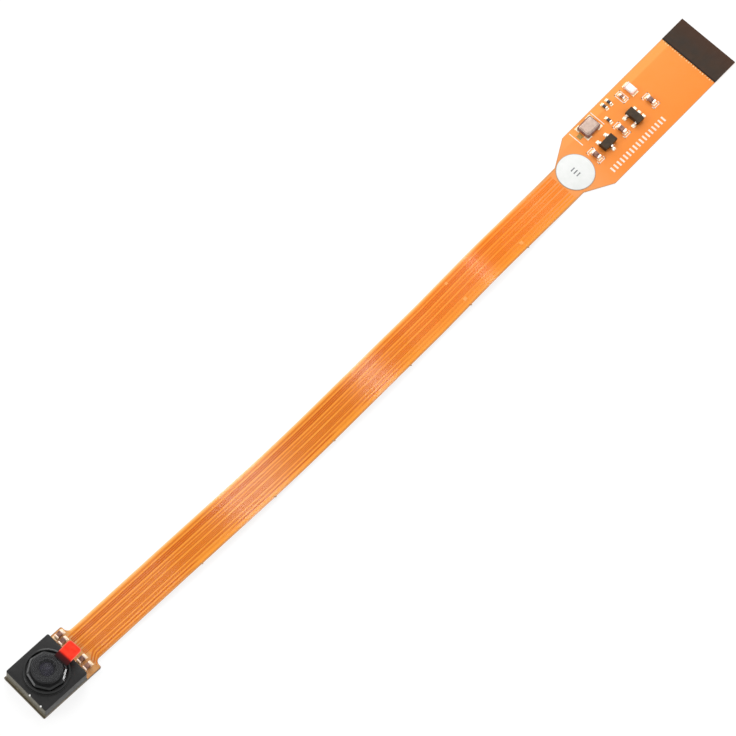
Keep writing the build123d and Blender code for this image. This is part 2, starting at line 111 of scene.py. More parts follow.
# Shader input that several finishes set, and the part of a noise that two tones or the roughness follow
SPECULAR = "Specular IOR Level"
TONE_RANGE = (0.35, 0.65)
PATCH_RANGE = (0.3, 0.7)

# Finish of the film: gloss, roughness added by handling and the stations where that comes and goes
FILM_GLOSS = {"IOR": 1.5, SPECULAR: 0.2}
HANDLED_DULLING = 0.2
FAR_DULLING = 0.03
HANDLED_RISE = (79.0, 83.5)
HANDLED_FALL = (87.5, 95.0)

# Stations between which the colours along the film change, and widths of its edges that carry painted shade
CARRIER_CHANGE = (CARRIER_END - 0.2, CARRIER_END + 0.6)
TAIL_CHANGE = (FLARE_START - 16, FLARE_START + 3)
POUR_CHANGE = (FLARE_START + 2, FLARE_START + 8)
EDGE_CHANGE = (FLARE_START - 3, FLARE_START + 4)
FORE_CHANGE = (-HEAD_HALF - 0.1, -HEAD_HALF + 0.2)
NARROW_EDGE = 0.14
WIDE_EDGE = 0.42
FILM_CHANGE = (58.0, 104.0)
COPPER_CHANGE = (58.0, 100.0)
LAST_CHANGE = (100.0, 116.0)

# Offsets between which the colours across the film change, and length and width of its streaks
# Across the ribbon its edge goes from painted shade on the right to a paler margin on the left
RIM_SPAN = (-0.5, 0.5)
POUR_SPAN = (-5.0, 4.0)
POUR_BORDER = (4.05, 4.35)
FILM_STREAK = (14.0, 0.5)
COPPER_STREAK = (6.0, 0.2)
BUMP_STREAK = (9.0, 0.3)

# Traces that fade into the film at the right edge: stretches, their ends, and where the last one starts
FAINT_STRETCHES = ((28.5, 36.0), (59.0, 65.5))
FAINT_RISE = 1.5
FAINT_FALL = 3.0
FAINT_LAST = (74.5, 77.5)
FAINT_OUTER = (27.0, 30.0)
# Offsets over which each of the three lanes starts, and how far it fades
THIRD_LANE = (-1.4, -1.5, 0.0, 0.35)
INNER_LANE = (-1.93, -2.03, 0.0, 0.65)
OUTER_LANE = (-2.44, -2.54)

# Camera head: heights above the underside of its stiffener, and half widths
HEAD_TOP = 0.45
HOLDER_TOP = 3.35
HOLDER_EDGE = 0.12
HOLDER_CORNER = 0.25
COLLAR_RADIUS = 3.6
COLLAR_TOP = 3.95
COLLAR_INSET = 0.16
COLLAR_DROP = 0.08
COUNTERBORE_RADIUS = 3.25
COUNTERBORE_FLOOR = 3.45
THREAD_RADIUS = 2.6
WEB_TOP = 2.05
WEB_FOOT = 1.65
WEB_WINDOW = (2.2, 1.7)
ROOM_HALF = 3.65
BARREL_FOOT = 2.2
FLANGE_FOOT = 3.6
FLANGE_FLATS = 5.8
FLANGE_SIDES = 8
FLANGE_TURN = radians(10.5)
RIM_INSET = 0.26
RIM_DROP = 0.18
NOSE_FOOT = 4.25
NOSE_TOP = 5.4
COVER_GAP = 0.02
NOSE_RADIUS = 2.45
NOSE_EDGE = 0.22
DISH_RADIUS = 1.85
DISH_FLOOR = 5.3
CONE_RADIUS = 1.45
APERTURE_RADIUS = 1.1
LENS_SEAT = 4.9
LENS_BORE_RADIUS = 2.1

# Finer shapes of the head: steps, edges, thread and cone, slope of its bright rims, and changes of colour
# where painted reflected light makes the housing's walls paler than its top
HOLDER_STEPS = 4
NOSE_STEPS = 5
FLANGE_ROUND = 0.05
BARREL_POINTS = 120
COLLAR_BEND = 0.06
BORE_EDGE = 0.04
THREAD_CLEARANCE = 0.02
THREAD_TURNS = 7
THREAD_DEPTH = 0.09
WINDOW_CORNER = 0.05
FLANGE_UNDERCUT = (0.12, 0.06)
DISH_DRAFT = 0.03
CONE_STEPS = 4
CONE_LEDGE = 0.05
RIM_SLOPE = (0.5, 0.95)
REAR_SHEEN_CHANGE = (0.02 - HEAD_HALF, 0.14 - HEAD_HALF)
TOP_CHANGE = (HOLDER_TOP - 0.35, HOLDER_TOP - 0.1)

# Glue at the housing's foot, as reach and rise, and white dots on the rear edge that are painted glints, as
# radius and rise
GLUE_SECTION = ((-0.02, 0.0), (0.09, 0.0), (0.085, 0.06), (0.05, 0.13), (0.015, 0.24), (-0.02, 0.3))
DOT_SECTION = ((0.17, -0.08), (0.16, 0.02), (0.1, 0.08), (0.03, 0.1))
DOT_OFFSETS = (-0.9, -3.3)
DOT_INSET = 0.02
DOT_DROP = 0.1
DOT_POINTS = 16

# Solder: pads, hollow fillets at the ends of chips, and mounds round the feet of leads
PAD_THICK = 0.03
PAD_TOE = 0.3
TOE_LAP = 0.03
TOE_SINK = 0.005
FILLET_REACH = 0.85
FILLET_RISE = 0.7
FILLET_STEPS = 6
FILLET_SWELL = ((-0.5, 0.7), (-0.3, 1.0), (0.3, 1.0), (0.5, 0.7))
MOUND_SECTION = ((1.0, 0.0), (0.98, 0.4), (0.93, 0.75), (0.84, 0.95), (0.7, 1.0))
MOUND_CORNER = 0.2
MOUND_SINK = 0.02

# Chips: how the core fits its ends, rounded edges, and each kind's length, width, height and end length
CORE_LAP = 0.06
CORE_INSET = 0.04
CORE_EDGE = 0.03
END_EDGE = 0.05
EDGE_SEGMENTS = 3
SMALL_CHIP = (1.0, 0.5, 0.4, 0.25)
HEAD_CHIP = (1.4, 0.8, 0.5, 0.3)
FLAT_CHIP = (1.0, 0.5, 0.3, 0.22)
LARGE_CHIP = (1.6, 0.8, 0.65, 0.35)
LIGHT_CHIP = (2.0, 1.25, 0.6, 0.35)

# Places of the chips by the head, and on the tail as distance from the flare's start and offset
HEAD_CHIP_SPOTS = ((6.1, 3.7), (5.75, 2.55), (5.7, -2.9), (5.85, -1.5))
CENTRE_OFFSET = -0.25
LARGE_CHIPS_ALONG = (20.3, 12.9, 6.4)
LEFT_CHIP_SPOT = (17.45, 3.6)
FLAT_CHIP_SPOTS = ((15.2, 4.5), (14.1, 4.5), (12.7, 2.4))
LIGHT_CHIP_SPOT = (19.5, 3.55)

# Crystal and round label: places, sizes, and sections as inset and rise
CRYSTAL_SPOT = (9.4, 3.9)
CRYSTAL_HALF = (1.6, 1.25)
CRYSTAL_LID_HALF = (1.45, 1.05)
CRYSTAL_HEIGHT = 0.5
CRYSTAL_CORNER = 0.2
CRYSTAL_TOP_CORNER = 0.18
CRYSTAL_EDGE = 0.04
LID_CORNER = 0.22
LID_SECTION = ((0.0, 0.0), (0.0, 0.05), (0.12, 0.06), (0.15, 0.08), (0.18, 0.16), (0.24, 0.2))
LABEL_SPOT = (1.8, 0.2)
LABEL_RADIUS = 3.25
LABEL_THICK = 0.08
LABEL_POINTS = 96
# Radii over which the label's edge turns grey as painted shadow
LABEL_SHADOW_RIM = (LABEL_RADIUS - 0.13, LABEL_RADIUS - 0.04)
LABEL_SECTION = ((0.0, 0.0), (0.0, LABEL_THICK - 0.03), (0.02, LABEL_THICK - 0.01), (0.06, LABEL_THICK))

# Protective film's pull tab, in its own turned frame, and the place where it leaves the nose
TAB_START = 2.1
TAB_END = 5.65
TAB_HALF = 1.25
TAB_CORNER = 0.5
TAB_OFFSET = -0.75
TAB_TURN = radians(4.0)
TAB_LEVEL = 5.46
TAB_THICK = 0.06
TAB_FOLD = 3.2
TAB_CHANGE = (TAB_FOLD - 0.2, TAB_FOLD + 0.3)
# Stretch of the tab by the nose that is painted dark as shade
TAB_SHADED_ROOT = (TAB_START, TAB_FOLD - 0.1)
TAB_EDGE = (0.02, 0.16)
TAB_ROWS = 24
TAB_CORNER_STEPS = 8
TAB_SHARES = (0.3, 0.6, 0.84, 0.92, 0.97, 1)

# Print: lines, the row of plain bars, outlines of parts, bars on the label, and a bare pad
INK_WIDTH = 0.16
INK_THICK = 0.015
BAR_ROW_OFFSET = -3.9
BAR_ROW = (6.4, 19.2)
BAR_PITCH = 0.8
BAR_WIDTH = 0.34
BAR_HALF = 0.5
CRYSTAL_LINES = (6.3, 11.65)
CRYSTAL_LINE_SPAN = (2.45, 5.45)
LEFT_CHIP_BOX = (0.62, 1.0)
BRACKET_HALF = 0.72
BRACKET_REACH = (0.95, 1.35)
LABEL_BAR_HALF = 0.45
LABEL_BAR_PITCH = 0.62
LABEL_BAR_WIDTH = 0.2
BARE_PAD = (7.15, 3.85, 0.42, 0.42)

# Regulators with bent leads: place, turn and rows of leads on each side, then the leads and their solder
REGULATORS = ((16.05, 0.0, (-1, 0, 1), (-1, 1)), (9.35, 90.0, (-1, 1), (0,)))
LEAD_PITCH = 0.95
LEAD_WIDTH = 0.4
LEAD_TOE = 1.4
LEAD_FOOT = 0.35
MOUND_SIZE = (LEAD_FOOT + 0.45, LEAD_WIDTH + 0.3, 0.08)

# Contact tail: number and pitch of the contacts, the stiffener's edge, its painted shade and tones, and the
# stubs by it
CONTACT_COUNT = 22
CONTACT_PITCH = 0.5
STIFFENER_START = 30.3
STIFFENER_SHADE = (0.05, 0.3)
STIFFENER_BROWN = (2.0, 5.2)
STUB_LONG = 0.34
STUB_SHORT = 0.22
STUB_GAP = 0.04
STUB_WIDTH = 0.24

# Burrs left by the cutting of the film: stations along its right edge, size, rounding, inset and turn
NICK_STATIONS = (29.75, 45.75, 59.0, 76.75, 91.25, 105.25)
NICK_SIZE = (0.5, 0.16, FILM_THICK + 0.04)
NICK_EDGE = 0.03
NICK_INSET = 0.04
NICK_TURN = radians(-35)

# Angle at which a mesh stays sharp, and the rounding on the edges of solids that show
SHARP_ANGLE = radians(30)
ROUNDING_ANGLE = radians(40)
ROUNDING_SEGMENTS = 2
ROUNDED_NODES = {
    "contact_stiffener": 0.03,
    "head_stiffener": 0.03,
    "lens_cover_film": 0.015,
    "five_pin_regulator_body": 0.05,
    "three_pin_regulator_body": 0.05,
}

# Pale patches on the film, as station, offset and half side, and how far they stand up
FLECKS = ((91.3, 2.15, 0.25), (91.4, -1.8, 0.32), (105.1, -1.85, 0.32))
FLECK_RISE = 0.04
FLECK_SLOPE = 0.05

# Camera, fitted to the photograph: focal length in pixels, angles, and the point of the table it looks at
PICTURE_PIXELS = 736
FOCAL_PIXELS = 3859.3
CAMERA_TILT = 0.4021
CAMERA_ROLL = 0.22846
CAMERA_TURN = 0.99813
CAMERA_AIM = (36.803, 61.894)
CAMERA_DISTANCE = 609.27
SENSOR_WIDTH = 36.0
CLIP_RANGE = (0.01, 20.0)

# White table and surroundings, in metres: size, place, greys and strengths
TABLE_HALF = 3.0
TABLE_PLACE = (0.07, 0.0, -0.00003)
TABLE_GREY = (0.82, 0.82, 0.82, 1.0)
SHADOW_GREY = (0.25, 0.25, 0.25, 1.0)
TABLE_GLOW = 0.8
SOFT_STRENGTH = 0.52
WHITE = (1.0, 1.0, 1.0, 1.0)

# Lamps: direction, distance and size in metres, power, and the point in millimetres that each one faces
MIDDLE = (70.0, 2.0, 0.0)
WAVE = (21.0, 0.0, 0.7)
HEAD = (0.0, 0.0, 4.0)
LAMPS = {
    "key_panel": ((0.6, 0.5, 0.62), 1.1, (0.7, 0.7), 5.4, MIDDLE),
    "gloss_panel": ((0.338, 0.215, 0.916), 1.2, (0.2, 0.06), 0.5, MIDDLE),
    "near_gloss_panel": ((0.186, 0.213, 0.959), 1.2, (0.06, 0.06), 0.055, WAVE),
    "edge_panel": ((0.73, -0.57, 0.38), 1.0, (0.08, 0.08), 0.9, HEAD),
    "left_panel": ((-0.7, 0.41, 0.58), 1.0, (0.5, 0.5), 3.0, HEAD),
    "back_panel": ((0.0, 0.95, 0.25), 1.0, (1.0, 0.3), 2.6, HEAD),
    "right_panel": ((0.2, -0.93, 0.22), 1.0, (0.4, 0.2), 1.2, HEAD),
}


def plan_point(station, offset):
    """Plan position of a point to the left of the bowed centre line."""
    radius = BOW_LENGTH / BOW_ANGLE
    turn = min(max(station - BOW_START, 0.0), BOW_LENGTH) / radius
    before = min(station, BOW_START)
    after = max(station - BOW_START - BOW_LENGTH, 0.0)
    x = before + radius * sin(turn) + after * cos(turn) - offset * sin(turn)
    y = radius * (1 - cos(turn)) + after * sin(turn) + offset * cos(turn)
    return x, y


def film_height(x):
    """Height of the film's underside: straight runs, with a smooth bend at each knee."""
    first = (KNEES[0][0] - HEAD_RUN, KNEES[0][1])
    last = (KNEES[-1][0] + TAIL_RUN, KNEES[-1][1])
    points = [first, *KNEES, last]
    height = points[0][1]
    for before, knee, after in zip(points, points[1:], points[2:]):
        run_in = knee[0] - before[0]
        run_out = after[0] - knee[0]
        reach = knee[2] * min(run_in, run_out)
        slope_in = (knee[1] - before[1]) / run_in
        slope_out = (after[1] - knee[1]) / run_out
        if x <= knee[0] - reach:
            return knee[1] + slope_in * (x - knee[0]) if x > points[0][0] else height
        if x < knee[0] + reach:
            bend = (slope_out - slope_in) * (x - knee[0] + reach) ** 2 / (4 * reach)
            return knee[1] + slope_in * (x - knee[0]) + bend
    return points[-1][1]


def film_point(station, offset, level, rise=0.0):
    """Point at a level above the film's underside, or a little above that."""
    x, y = plan_point(station, offset)
    return x, y, film_height(x) + level + rise


def shift(x, y, z):
    """Move by a distance along each axis."""
    return Matrix.Translation((x, y, z))


def turned(angle):
    """Turn about the upright axis."""
    return Matrix.Rotation(angle, 4, "Z")


TAIL_FRAME = shift(*plan_point(FLARE_START, 0), 0) @ turned(BOW_ANGLE)


def on_tail(along, offset, level=FILM_THICK, turn=0.0):
    """Place on the tail: distance from the flare's start, offset to the left, height and turn in degrees."""
    return TAIL_FRAME @ shift(along, offset, level) @ turned(radians(turn))


def srgb(red, green, blue):
    """Linear colour of three values from 0 to 255."""
    shares = [value / 255 for value in (red, green, blue)]
    linear = [s / 12.92 if s <= 0.04045 else ((s + 0.055) / 1.055) ** 2.4 for s in shares]
    return (*linear, 1.0)


# Mesh builders


def loft(bm, rows, place=Matrix.Identity(4), closed=True):
    """Skin over rings of points in turn, with the last joined to the first or both ends capped."""
    rings = [[bm.verts.new(place @ Vector(point)) for point in row] for row in rows]
    pairs = list(zip(rings, rings[1:]))
    if closed:
        pairs.append((rings[-1], rings[0]))
    else:
        bm.faces.new(list(reversed(rings[0])))
        bm.faces.new(rings[-1])
    for low, high in pairs:
        for index in range(len(low)):
            after = (index + 1) % len(low)
            bm.faces.new((low[index], low[after], high[after], high[index]))


def rounded_block(bm, size, radius, place):
    """Block with rounded edges, centred on its place."""
    scale = Matrix.Diagonal((*size, 1.0))
    made = bmesh.ops.create_cube(bm, size=1.0, matrix=place @ scale)
    edges = list({edge for vert in made["verts"] for edge in vert.link_edges})
    bmesh.ops.bevel(bm, geom=edges, offset=radius, segments=EDGE_SEGMENTS, profile=0.5, affect="EDGES")


def both_sides(shares):
    """Shares of a half width from the right edge to the left, from those of the left half."""
    return (*[-share for share in reversed(shares)], 0, *shares)


def quarter_arc(count):
    """Steps round a rounded edge: shares of its radius inwards from the side, and short of the end."""
    angles = [pi / 2 * step / count for step in range(count + 1)]
    return [(1 - cos(angle), 1 - sin(angle)) for angle in angles]


def circle_ring(radius, level, bearings):
    """Ring of points on a circle at the given bearings."""
    return [(radius * cos(angle), radius * sin(angle), level) for angle in bearings]


def even_bearings(count):
    """Evenly spread bearings round a full turn."""
    return [2 * pi * index / count for index in range(count)]


def sided_ring(flats, level, bearings):
    """Ring of points on the flange's outline, with slightly rounded corners."""
    side = 2 * pi / FLANGE_SIDES
    corner = flats / 2 / cos(side / 2) - FLANGE_ROUND
    ring = []
    for angle in bearings:
        from_flat = (angle - FLANGE_TURN) % side - side / 2
        radius = min(flats / 2 / cos(from_flat), corner)
        ring.append((radius * cos(angle), radius * sin(angle), level))
    return ring


def rounded_ring(half_x, half_y, corner, level, corner_steps=6, side_steps=24):
    """Ring of points on a rectangle with rounded corners, always with the same number of points."""
    signs = ((1, 1), (-1, 1), (-1, -1), (1, -1))
    arcs = []
    for quarter, (sign_x, sign_y) in enumerate(signs):
        arc = []
        for step in range(corner_steps + 1):
            angle = pi / 2 * (quarter + step / corner_steps)
            x = sign_x * (half_x - corner) + corner * cos(angle)
            y = sign_y * (half_y - corner) + corner * sin(angle)
            arc.append((x, y, level))
        arcs.append(arc)
    ring = []
    for arc, following in zip(arcs, arcs[1:] + arcs[:1]):
        ring += arc
        start = Vector(arc[-1])
        end = Vector(following[0])
        ring += [tuple(start.lerp(end, step / side_steps)) for step in range(1, side_steps)]
    return ring


def slab(bm, outline, bottom, top, place):
    """Flat plate with the given outline."""
    rows = [[(x, y, level) for x, y in outline] for level in (bottom, top)]
    loft(bm, rows, place, closed=False)


def solder_fillet(bm, place, width, reach, rise):
    """Hollow wedge of solder in front of a chip's end, along +X from the end's face."""
    curve = []
    for step in range(FILLET_STEPS + 1):
        curve.append((reach * step / FILLET_STEPS, rise * (1 - step / FILLET_STEPS) ** 2))
    rows = []
    for share, swell in FILLET_SWELL:
        row = [(0.0, share * width, 0.0)]
        row += [(x * swell, share * width, z * swell) for x, z in curve]
        rows.append(row)
    loft(bm, rows, place, closed=False)


def solder_mound(bm, place, length, width, rise):
    """Low rounded heap of solder round a lead's foot."""
    rows = []
    for share, lift in MOUND_SECTION:
        corner = MOUND_CORNER * min(length, width) * share
        level = PAD_THICK - MOUND_SINK + rise * lift
        half = (length / 2 * share, width / 2 * share)
        rows.append(rounded_ring(*half, corner, level, corner_steps=4, side_steps=2))
    loft(bm, rows, place, closed=False)


def add_object(name, data):
    """New object in the scene."""
    made = bpy.data.objects.new(name, data)
    bpy.context.scene.collection.objects.link(made)
    return made


def finish_piece(name, bm, look, slot, *replaced):
    """Turn a finished shape into a piece of the object: in metres, smooth but for its sharp edges."""
    bmesh.ops.recalc_face_normals(bm, faces=bm.faces)
    mesh = bpy.data.meshes.new(name)
    bm.to_mesh(mesh)
    bm.free()
    mesh.transform(Matrix.Scale(MM, 4))
    mesh.shade_smooth()
    mesh.set_sharp_from_angle(angle=SHARP_ANGLE)
    mesh.materials.append(looks[look])
    piece = add_object(name, mesh)
    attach(piece, "root")
    if replaced:
        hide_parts(*replaced)
    return piece


def store_sheet_places(mesh, places):
    """Keep each point's station, offset and distance from the edge, which the film's materials read."""
    attribute = mesh.attributes.new("sheet", "FLOAT_VECTOR", "POINT")
    attribute.data.foreach_set("vector", [value for place in places for value in place])


# Materials


def new_look(name, paint, *values):
    """Material whose principled shader gets its inputs from a function."""
    material = bpy.data.materials.new(name)
    material.use_nodes = True
    paint(material.node_tree, material.node_tree.nodes["Principled BSDF"], *values)
    return material


def add_node(tree, kind, inputs=None, **settings):
    """Node with its settings, and its inputs set or linked."""
    made = tree.nodes.new("ShaderNode" + kind)
    for key, value in settings.items():
        setattr(made, key, value)
    for key, value in (inputs or {}).items():
        if isinstance(value, bpy.types.NodeSocket):
            tree.links.new(value, made.inputs[key])
        else:
            made.inputs[key].default_value = value
    return made


def compute(tree, kind, first, second):
    """Result of a sum with two values or sockets."""
    return add_node(tree, "Math", {0: first, 1: second}, operation=kind).outputs[0]


def vector_sum(tree, kind, first, second, result):
    """Result of a sum with two vectors."""
    return add_node(tree, "VectorMath", {0: first, 1: second}, operation=kind).outputs[result]


def with_parts(tree, vector):
    """A vector and its three parts."""
    parts = add_node(tree, "SeparateXYZ", {"Vector": vector}).outputs
    return vector, parts["X"], parts["Y"], parts["Z"]


def object_place(tree):
    """Place of a point in the object's frame, in metres, as the vector and its three parts."""
    return with_parts(tree, add_node(tree, "TexCoord").outputs["Object"])


def sheet_place(tree):
    """Station, offset and edge distance of a point of a sheet, as the vector and its three parts."""
    return with_parts(tree, add_node(tree, "Attribute", attribute_name="sheet").outputs["Vector"])


def noise(tree, size, detail=3.0, vector=None):
    """Noise with patches of a size in millimetres over the object, or over a given vector."""
    if vector is None:
        vector = add_node(tree, "TexCoord").outputs["Object"]
        size = size * MM
    inputs = {"Vector": vector, "Scale": 1 / size, "Detail": detail, "Roughness": 0.55}
    return add_node(tree, "TexNoise", inputs).outputs["Fac"]


def spread(tree, value, low, high, to_low=0.0, to_high=1.0, smooth=False):
    """Value carried from one range to another and held at its ends."""
    kind = "SMOOTHSTEP" if smooth else "LINEAR"
    inputs = {"Value": value, "From Min": low, "From Max": high, "To Min": to_low, "To Max": to_high}
    return add_node(tree, "MapRange", inputs, interpolation_type=kind).outputs["Result"]


def spread_mm(tree, value, low, high):
    """Value in metres carried from a range in millimetres to the range from 0 to 1."""
    return spread(tree, value, low * MM, high * MM)


def blend(tree, share, first, second):
    """Colour between two, each one a socket or three values from 0 to 255."""
    ends = [srgb(*end) if isinstance(end, tuple) else end for end in (first, second)]
    inputs = {0: share, 6: ends[0], 7: ends[1]}
    return add_node(tree, "Mix", inputs, data_type="RGBA").outputs[2]


def fade(tree, value, span, first, second, smooth=False):
    """Colour that changes from one to another as a value goes through a span."""
    return blend(tree, spread(tree, value, *span, smooth=smooth), first, second)


def mottle(tree, patch, dark, light):
    """Two tones in soft patches of a size."""
    return fade(tree, noise(tree, patch), TONE_RANGE, dark, light)


def add_bump(tree, shader, height, depth):
    """Bump of a depth in millimetres on the shader's normal."""
    bump = add_node(tree, "Bump", {"Height": height, "Distance": depth * MM})
    tree.links.new(bump.outputs["Normal"], shader.inputs["Normal"])


def finish_surface(tree, shader, colour, patch, roughness, grain=None, sockets=None, dulling=0.0):
    """Colour, roughness in patches, a grain of a size and depth, and plain values on other inputs."""
    rough = compute(tree, "ADD", spread(tree, noise(tree, patch), *PATCH_RANGE, *roughness), dulling)
    tree.links.new(colour, shader.inputs["Base Color"])
    tree.links.new(rough, shader.inputs["Roughness"])
    if grain:
        add_bump(tree, shader, noise(tree, grain[0], 4.0), grain[1])
    for key, value in (sockets or {}).items():
        shader.inputs[key].default_value = value


def surface(tree, shader, dark, light, patch, roughness, grain, sockets):
    """Two tones in patches, and a finer change of roughness."""
    tones = mottle(tree, patch, dark, light)
    finish_surface(tree, shader, tones, patch / 3, roughness, grain, sockets)


def streaks(tree, vector, length, width):
    """Noise drawn out along the ribbon."""
    stretch = {"Vector": vector, "Scale": (1 / length, 1 / width, 0.0)}
    drawn = add_node(tree, "Mapping", stretch).outputs["Vector"]
    return noise(tree, 1.0, 2.0, drawn)


def handled_stretch(tree, station):
    """Added roughness of the film past its second wave, where it is duller from handling."""
    rise = spread(tree, station, *HANDLED_RISE, 0.0, HANDLED_DULLING)
    fall = spread(tree, station, *HANDLED_FALL, HANDLED_DULLING, FAR_DULLING)
    return compute(tree, "MINIMUM", rise, fall)


def amber_film(tree, shader):
    """Amber film: darker brown on the carrier as painted shade of the housing, streaked on the ribbon,
    brighter on the tail, with painted shade along its edges and a paler margin on the ribbon's left edge.
    """
    vector, station, offset, edge = sheet_place(tree)
    tail_share = spread(tree, station, *TAIL_CHANGE, smooth=True)
    ribbon_share = spread(tree, station, *CARRIER_CHANGE, smooth=True)
    ribbon = blend(tree, streaks(tree, vector, *FILM_STREAK), (241, 145, 38), (246, 162, 61))
    far = blend(tree, streaks(tree, vector, *FILM_STREAK), (250, 138, 26), (254, 154, 46))
    ribbon = fade(tree, station, FILM_CHANGE, ribbon, far)
    pour = fade(tree, offset, POUR_SPAN, (252, 142, 54), (253, 154, 70))
    pour = blend(tree, spread(tree, noise(tree, 4.0), *PATCH_RANGE, 0.0, 0.5), pour, (254, 148, 60))
    tail = fade(tree, offset, POUR_BORDER, pour, (253, 166, 82))
    tail = fade(tree, station, POUR_CHANGE, (243, 156, 86), tail)
    body = blend(tree, tail_share, ribbon, tail)
    # Carrier: darker brownish tones, painted shade of the housing
    body = blend(tree, ribbon_share, mottle(tree, 0.8, (206, 142, 78), (226, 164, 98)), body)
    # Edges: painted shade on the ribbon's right edge, the tail's edges and the carrier's rim, paler on the
    # ribbon's left edge
    rim = fade(tree, offset, RIM_SPAN, (206, 136, 70), (251, 203, 134))
    rim = blend(tree, tail_share, rim, (206, 142, 84))
    rim = blend(tree, ribbon_share, (118, 76, 48), rim)
    grown = spread(tree, station, *CARRIER_CHANGE, NARROW_EDGE, WIDE_EDGE)
    shrunk = spread(tree, station, *EDGE_CHANGE, WIDE_EDGE, NARROW_EDGE)
    inward = compute(tree, "DIVIDE", edge, compute(tree, "MINIMUM", grown, shrunk))
    colour = blend(tree, spread(tree, inward, 0.0, 1.0, smooth=True), rim, body)
    colour = fade(tree, station, FORE_CHANGE, (88, 80, 62), colour)
    dulling = handled_stretch(tree, station)
    finish_surface(tree, shader, colour, 1.2, (0.09, 0.14), None, FILM_GLOSS, dulling)
    add_bump(tree, shader, streaks(tree, vector, *BUMP_STREAK), 0.004)


def faint_share(tree, station, offset):
    """How far the traces at the right edge fade into the film, in stretches along the ribbon."""
    past = spread(tree, station, *FAINT_LAST)
    faint = past
    for start, end in FAINT_STRETCHES:
        rise = spread(tree, station, start, start + FAINT_RISE)
        fall = spread(tree, station, end, end + FAINT_FALL, 1.0, 0.0)
        faint = compute(tree, "MAXIMUM", faint, compute(tree, "MINIMUM", rise, fall))
    inner = compute(tree, "MULTIPLY", spread(tree, offset, *INNER_LANE), faint)
    beyond = spread(tree, station, *FAINT_OUTER)
    outer = compute(tree, "MULTIPLY", spread(tree, offset, *OUTER_LANE), beyond)
    third = compute(tree, "MULTIPLY", spread(tree, offset, *THIRD_LANE), past)
    return compute(tree, "MAXIMUM", compute(tree, "MAXIMUM", inner, outer), third)


def film_copper(tree, shader):
    """Copper seen through the amber cover layer: dark orange, fading towards the tail."""
    vector, station, offset, depth = sheet_place(tree)
    near = blend(tree, depth, (242, 149, 47), (204, 95, 4))
    far = blend(tree, depth, (250, 142, 30), (230, 108, 4))
    last = blend(tree, depth, (252, 150, 48), (244, 126, 22))
    body = fade(tree, station, COPPER_CHANGE, near, far, smooth=True)
    body = fade(tree, station, LAST_CHANGE, body, last, smooth=True)
    light = spread(tree, streaks(tree, vector, *COPPER_STREAK), 0.45, 0.9, 0.0, 0.4)
    colour = blend(tree, light, body, (246, 148, 50))
    colour = blend(tree, faint_share(tree, station, offset), colour, (248, 156, 46))
    dulling = handled_stretch(tree, station)
    finish_surface(tree, shader, colour, 0.8, (0.1, 0.16), (0.15, 0.0012), FILM_GLOSS, dulling)


def red_tab(tree, shader):
    """Red pull tab: near-black red by the nose as painted shade, and paler towards the edges of its free
    part.
    """
    along, edge = sheet_place(tree)[1::2]
    bright = mottle(tree, 0.9, (246, 46, 26), (253, 64, 40))
    free = spread(tree, along, *TAB_CHANGE, smooth=True)
    # Dark red by the nose: painted shade
    root = fade(tree, along, TAB_SHADED_ROOT, (6, 0, 0), (78, 2, 4))
    colour = blend(tree, free, root, bright)
    pale = compute(tree, "MULTIPLY", spread(tree, edge, *TAB_EDGE, 0.5, 0.0), free)
    colour = blend(tree, pale, colour, (250, 150, 134))
    finish_surface(tree, shader, colour, 0.5, (0.3, 0.45), (0.25, 0.006), {SPECULAR: 0.12})


def housing_black(tree, shader):
    """Moulded black plastic, with painted reflected light making the housing's side walls paler than its
    top, and its rear side paler still.
    """
    x, height = object_place(tree)[1::2]
    top = mottle(tree, 0.8, (16, 16, 16), (26, 25, 25))
    # Side walls: paler tones, painted reflected light
    wall = mottle(tree, 0.5, (30, 29, 26), (42, 40, 36))
    # Rear side: paler still, painted reflected light
    rear = spread_mm(tree, x, *REAR_SHEEN_CHANGE)
    wall = blend(tree, rear, mottle(tree, 0.5, (78, 74, 60), (104, 99, 81)), wall)
    upper = spread_mm(tree, height, *TOP_CHANGE)
    colour = blend(tree, upper, wall, top)
    finish_surface(tree, shader, colour, 0.3, (0.36, 0.5), (0.12, 0.012), {SPECULAR: 0.3})


def label_paper(tree, shader):
    """White paper label with a thin grey rim of painted shadow round its edge."""
    vector = object_place(tree)[0]
    centre = on_tail(*LABEL_SPOT).translation * MM
    reach = vector_sum(tree, "DISTANCE", vector, centre, "Value")
    # Grey rim by the edge: painted shadow
    rim = spread_mm(tree, reach, *LABEL_SHADOW_RIM)
    colour = blend(tree, rim, mottle(tree, 1.2, (233, 235, 232), (239, 240, 238)), (160, 150, 138))
    finish_surface(tree, shader, colour, 0.4, (0.5, 0.65), (0.12, 0.006), {SPECULAR: 0.3})


def brown_stiffener(tree, shader):
    """Dark stiffener of the contact tail: nearly black along its inner edge as painted shade, and browner
    towards its end.
    """
    vector = object_place(tree)[0]
    start = on_tail(STIFFENER_START, 0.0).translation * MM
    from_start = vector_sum(tree, "SUBTRACT", vector, start, "Vector")
    axis = (cos(BOW_ANGLE), sin(BOW_ANGLE), 0.0)
    along = vector_sum(tree, "DOT_PRODUCT", from_start, axis, "Value")
    plate = mottle(tree, 1.8, (54, 44, 36), (62, 46, 34))
    plate = blend(tree, spread_mm(tree, along, *STIFFENER_BROWN), plate, (68, 44, 30))
    # Near-black along the inner edge: painted shade
    colour = blend(tree, spread_mm(tree, along, *STIFFENER_SHADE), (24, 15, 10), plate)
    finish_surface(tree, shader, colour, 0.6, (0.42, 0.58), (0.12, 0.006), {SPECULAR: 0.15})


